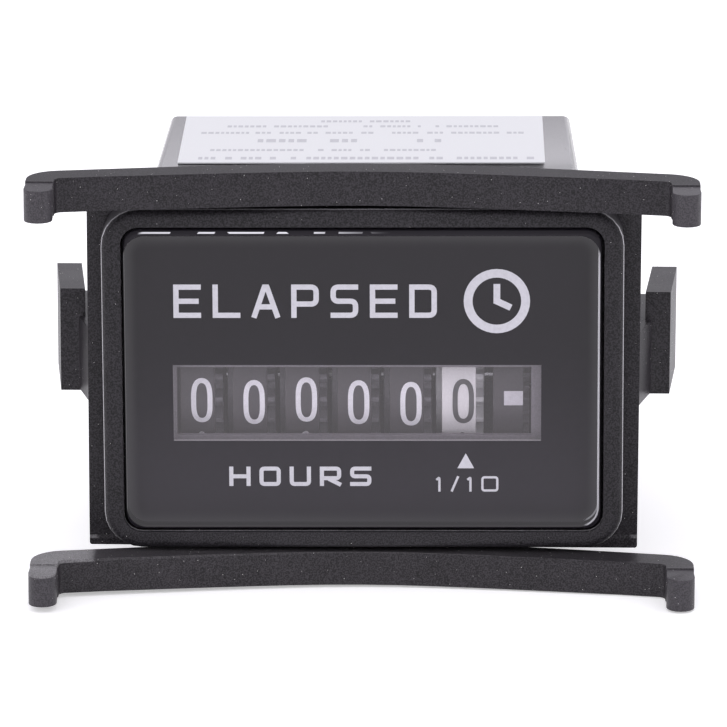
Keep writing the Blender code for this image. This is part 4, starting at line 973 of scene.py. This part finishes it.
middle = edges_of("indicator_wheel")[0][0] + MARK_MIDDLE
bar = [Vector((0, (row / MARK_ROWS - 0.5) * MARK_HEIGHT)) for row in range(MARK_ROWS + 1)]
work = bmesh.new()
for turn in turns(MARKS):
    ribbon(work, bar, MARK_WIDTH, STAMP, on_drum(middle, turn - MARK_REST))
finished_mesh("running_marks", work, silver_ink, "indicator_wheel")
print("running marks:", MARKS)

# %% [markdown]
# ## Label print
#
# The label on the case top carries only small grey blocks where print would be. Each block stands
# for a letter and none of them can be read. A row is given by its share of the way from the rear
# edge, the height of its blocks, and the shares of the width between which they run. Lengths and
# spaces between words are random, from a fixed seed, so the same rows come each time.

# %% Print the label
LABEL_ROWS = (
    (0.12, 0.7, ((0.38, 0.63),)),
    (0.23, 0.7, ((0.12, 0.4), (0.48, 0.88))),
    (0.37, 0.7, ((0.05, 0.52), (0.58, 0.94))),
    (0.54, 1.2, ((0.21, 0.49), (0.65, 0.72))),
    (0.74, 0.7, ((0.05, 0.71),)),
    (0.91, 0.9, ((0.03, 0.71), (0.76, 0.97))),
)
LABEL_SEED = 7
BLOCK_LENGTHS = (0.35, 0.7)
BLOCK_CHANCE = 0.85
BLOCK_GAP = 0.22
SAME_EDGE = 0.001 * MM
label_x, label_y = edges_of("rating_label")[:2]


def top_at(node, end):
    """The highest point of a solid at one end along Y; end is min or max."""
    corners = [corner.co for corner in nodes[node].data.vertices]
    edge = end(corner.y for corner in corners)
    return max(corner.z for corner in corners if abs(corner.y - edge) < SAME_EDGE)


label_front = top_at("rating_label", min)
label_fall = label_front - top_at("rating_label", max)


def on_label(x, y, height):
    """Places print on the label, which slopes down slightly to the rear."""
    share = (y - label_y[0]) / (label_y[1] - label_y[0])
    return (x, y, label_front - label_fall * share + height)


random.seed(LABEL_SEED)
work = bmesh.new()
for share, height, runs in LABEL_ROWS:
    y = label_y[1] + share * (label_y[0] - label_y[1])
    for start, end in runs:
        x = label_x[0] + start * (label_x[1] - label_x[0])
        while x < label_x[0] + end * (label_x[1] - label_x[0]):
            length = random.uniform(*BLOCK_LENGTHS) * height * MM
            if random.random() < BLOCK_CHANCE:
                ribbon(work, [Vector((x, y)), Vector((x + length, y))], height * MM, INK, on_label)
            x += length + BLOCK_GAP * height * MM
finished_mesh("label_blocks", work, label_grey, "meter")
print("label rows:", len(LABEL_ROWS), "label falls by mm:", round(label_fall / MM, 3))

# %% [markdown]
# ## Dust
#
# Matt black plastic shows every speck. A few flakes are scattered by Geometry Nodes: points on the
# faces, an icosphere on each point at a random size, then real mesh, because instances would be
# lost when the piece is exported. The seeds are fixed, so the same specks come each time. A density
# is in points a square metre. The Random Value node has a set of sockets for each kind of value,
# so the ones for plain numbers are found by their numbers.

# %% Scatter dust with Geometry Nodes
PLACE_SEED = 11
SIZE_SEED = 5
SMALLEST = 0.4
FLOAT_LOWEST = 2
FLOAT_RESULT = 1
SPECK_RADIUS = 0.034 * MM
DUST_PATCH = 0.5 * MM
DUST_DENSITIES = {"case_body": 120000.0, "mounting_clip": 350000.0}


def dust_tree(name, finish):
    """A node tree that turns a mesh into specks on its faces."""
    tree = bpy.data.node_groups.new(name, "GeometryNodeTree")
    face = tree.interface
    face.new_socket("Geometry", in_out="INPUT", socket_type="NodeSocketGeometry")
    face.new_socket("Density", in_out="INPUT", socket_type="NodeSocketFloat")
    face.new_socket("Size", in_out="INPUT", socket_type="NodeSocketFloat")
    face.new_socket("Geometry", in_out="OUTPUT", socket_type="NodeSocketGeometry")
    add = tree.nodes.new
    link = tree.links.new
    given = add("NodeGroupInput")
    scatter = add("GeometryNodeDistributePointsOnFaces")
    speck = add("GeometryNodeMeshIcoSphere")
    sizes = add("FunctionNodeRandomValue")
    place = add("GeometryNodeInstanceOnPoints")
    real = add("GeometryNodeRealizeInstances")
    paint = add("GeometryNodeSetMaterial")
    result = add("NodeGroupOutput")
    speck.inputs["Subdivisions"].default_value = 1
    scatter.inputs["Seed"].default_value = PLACE_SEED
    sizes.inputs["Seed"].default_value = SIZE_SEED
    sizes.inputs[FLOAT_LOWEST].default_value = SMALLEST
    paint.inputs["Material"].default_value = finish.material
    link(given.outputs["Geometry"], scatter.inputs["Mesh"])
    link(given.outputs["Density"], scatter.inputs["Density"])
    link(given.outputs["Size"], speck.inputs["Radius"])
    link(scatter.outputs["Points"], place.inputs["Points"])
    link(speck.outputs["Mesh"], place.inputs["Instance"])
    link(sizes.outputs[FLOAT_RESULT], place.inputs["Scale"])
    link(place.outputs["Instances"], real.inputs["Geometry"])
    link(real.outputs["Geometry"], paint.inputs["Geometry"])
    link(paint.outputs["Geometry"], result.inputs["Geometry"])
    return tree


def dust_on(node, name, tree, density, size):
    """Specks on a copy of a solid, made real and left on the solid's body."""
    carrier = bpy.data.objects.new(name, nodes[node].data.copy())
    bpy.context.scene.collection.objects.link(carrier)
    scatter = carrier.modifiers.new("dust", "NODES")
    scatter.node_group = tree
    wanted = {"Density": density, "Size": size}
    for item in tree.interface.items_tree:
        if item.in_out == "INPUT" and item.name in wanted:
            scatter[item.identifier] = wanted[item.name]
    carrier.update_tag()
    bpy.context.view_layer.update()
    depsgraph = bpy.context.evaluated_depsgraph_get()
    mesh = bpy.data.meshes.new_from_object(carrier.evaluated_get(depsgraph))
    carrier.modifiers.clear()
    carrier.data = mesh
    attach(carrier, body_of(node))
    return carrier


dust = Finish("dust_fibre", (0.75, 0.74, 0.72), roughness=0.8)
patches = dust.noise(DUST_PATCH)
dust.set(Base_Color=dust.blend(patches, (0.6, 0.59, 0.56), (0.85, 0.84, 0.82)))
specks = dust_tree("dust_specks", dust)
for node, density in DUST_DENSITIES.items():
    flakes = dust_on(node, "dust_on_" + node, specks, density, SPECK_RADIUS)
    print(flakes.name, "faces:", len(flakes.data.polygons))

# %% [markdown]
# ## Floor, light and background
#
# The photograph is a packshot: white all round, with soft light from every side and no hard
# shadow. The floor is white and adds a little light of its own to what is seen of it, directly or
# mirrored, so that it reads as white but still takes a faint shadow. The light is a trace violet,
# as the greys in the photograph are, and the backdrop that the camera sees is pure white.

# %% Floor and world
FLOOR_GAP = 0.05 * MM
FLOOR_RADIUS = 2.5
FLOOR_SIDES = 64
FLOOR_GLOW = 0.4
WHITE = (1.0, 1.0, 1.0, 1.0)
SKY_TINT = (0.99, 0.97, 1.04, 1.0)

floor_level = cad_box[0].z - FLOOR_GAP
disc = {"vertices": FLOOR_SIDES, "radius": FLOOR_RADIUS, "fill_type": "NGON"}
bpy.ops.mesh.primitive_circle_add(**disc, location=(0, 0, floor_level))
floor = bpy.context.object
floor.name = "floor"
ground = Finish("floor_white", (0.9, 0.9, 0.9), roughness=0.9)
rays = ground.add("ShaderNodeLightPath")
mirrored = rays.value("Is Glossy Ray").largest(rays.value("Is Transmission Ray"))
ground.set(Emission_Color=WHITE)
ground.set(Emission_Strength=FLOOR_GLOW * rays.value("Is Camera Ray").largest(mirrored))
floor.data.materials.append(ground.material)

world = bpy.data.worlds.new("studio")
bpy.context.scene.world = world
world.use_nodes = True
sky = world.node_tree
background = sky.nodes["Background"]
background.inputs["Strength"].default_value = 1.0
tint = sky.nodes.new("ShaderNodeMix")
tint.data_type = "RGBA"
tint.inputs[MIX_FIRST].default_value = SKY_TINT
tint.inputs[MIX_SECOND].default_value = WHITE
paths = sky.nodes.new("ShaderNodeLightPath")
sky.links.new(paths.outputs["Is Camera Ray"], tint.inputs[MIX_FACTOR])
sky.links.new(tint.outputs[MIX_RESULT], background.inputs["Color"])
print("floor at z mm:", round(floor_level / MM, 2))

# %% [markdown]
# ### Lamps
#
# The room lights everything evenly. Three large soft lamps add just enough direction to tell the
# top faces from the fronts, and give the rounded edges something to catch.

# %% Lamps
def soft_lamp(name, energy, size, position):
    """A square lamp that looks at the middle of the meter."""
    light = bpy.data.lights.new(name, "AREA")
    light.energy = energy
    light.size = size
    lamp = bpy.data.objects.new(name, light)
    bpy.context.scene.collection.objects.link(lamp)
    lamp.location = position
    lamp.rotation_euler = (-Vector(position)).to_track_quat("-Z", "Y").to_euler()


soft_lamp("lamp_above", energy=0.35, size=0.5, position=(-0.1, -0.25, 0.6))
soft_lamp("lamp_left", energy=0.35, size=0.4, position=(-0.55, -0.35, 0.25))
soft_lamp("lamp_right", energy=0.25, size=0.4, position=(0.55, -0.35, 0.2))
print("lamps:", len(bpy.data.lights))

# %% [markdown]
# ## Camera
#
# The view was taken with a long lens from half a metre, a little above the dial and a hair to its
# left. The position follows from the distance, three small angles and where the middle of the
# bezel falls in the picture. The focal length and the aim are in pixels.

# %% Place the camera
PICTURE = 727
FOCAL = 6056.0
SENSOR = 36.0
DISTANCE = 494.6 * MM
HEIGHT_ANGLE = math.radians(15.16)
SIDE_ANGLE = math.radians(0.947)
ROLL = math.radians(-0.256)
AIM = (-0.7, 17.5)
FARTHEST = 20.0

right = Vector((math.cos(SIDE_ANGLE), math.sin(SIDE_ANGLE), 0))
level_ahead = Vector((-math.sin(SIDE_ANGLE), math.cos(SIDE_ANGLE), 0))
ahead = level_ahead * math.cos(HEIGHT_ANGLE) - Vector((0, 0, 1)) * math.sin(HEIGHT_ANGLE)
up = level_ahead * math.sin(HEIGHT_ANGLE) + Vector((0, 0, 1)) * math.cos(HEIGHT_ANGLE)
right, up = right * math.cos(ROLL) + up * math.sin(ROLL), up * math.cos(ROLL) - right * math.sin(ROLL)
bezel_middle = Vector((0, edges_of("case_body")[1][0], 0))
pixel = DISTANCE / FOCAL
eye = bezel_middle - ahead * DISTANCE - right * AIM[0] * pixel + up * AIM[1] * pixel

lens_data = bpy.data.cameras.new("camera")
lens_data.sensor_width = SENSOR
lens_data.lens = FOCAL / PICTURE * SENSOR
lens_data.clip_end = FARTHEST
camera = bpy.data.objects.new("camera", lens_data)
bpy.context.scene.collection.objects.link(camera)
camera.matrix_world = Matrix.Translation(eye) @ Matrix((right, up, -ahead)).transposed().to_4x4()
bpy.context.scene.camera = camera
bpy.context.scene.view_settings.view_transform = "Standard"
print("camera at", [round(c, 4) for c in eye])
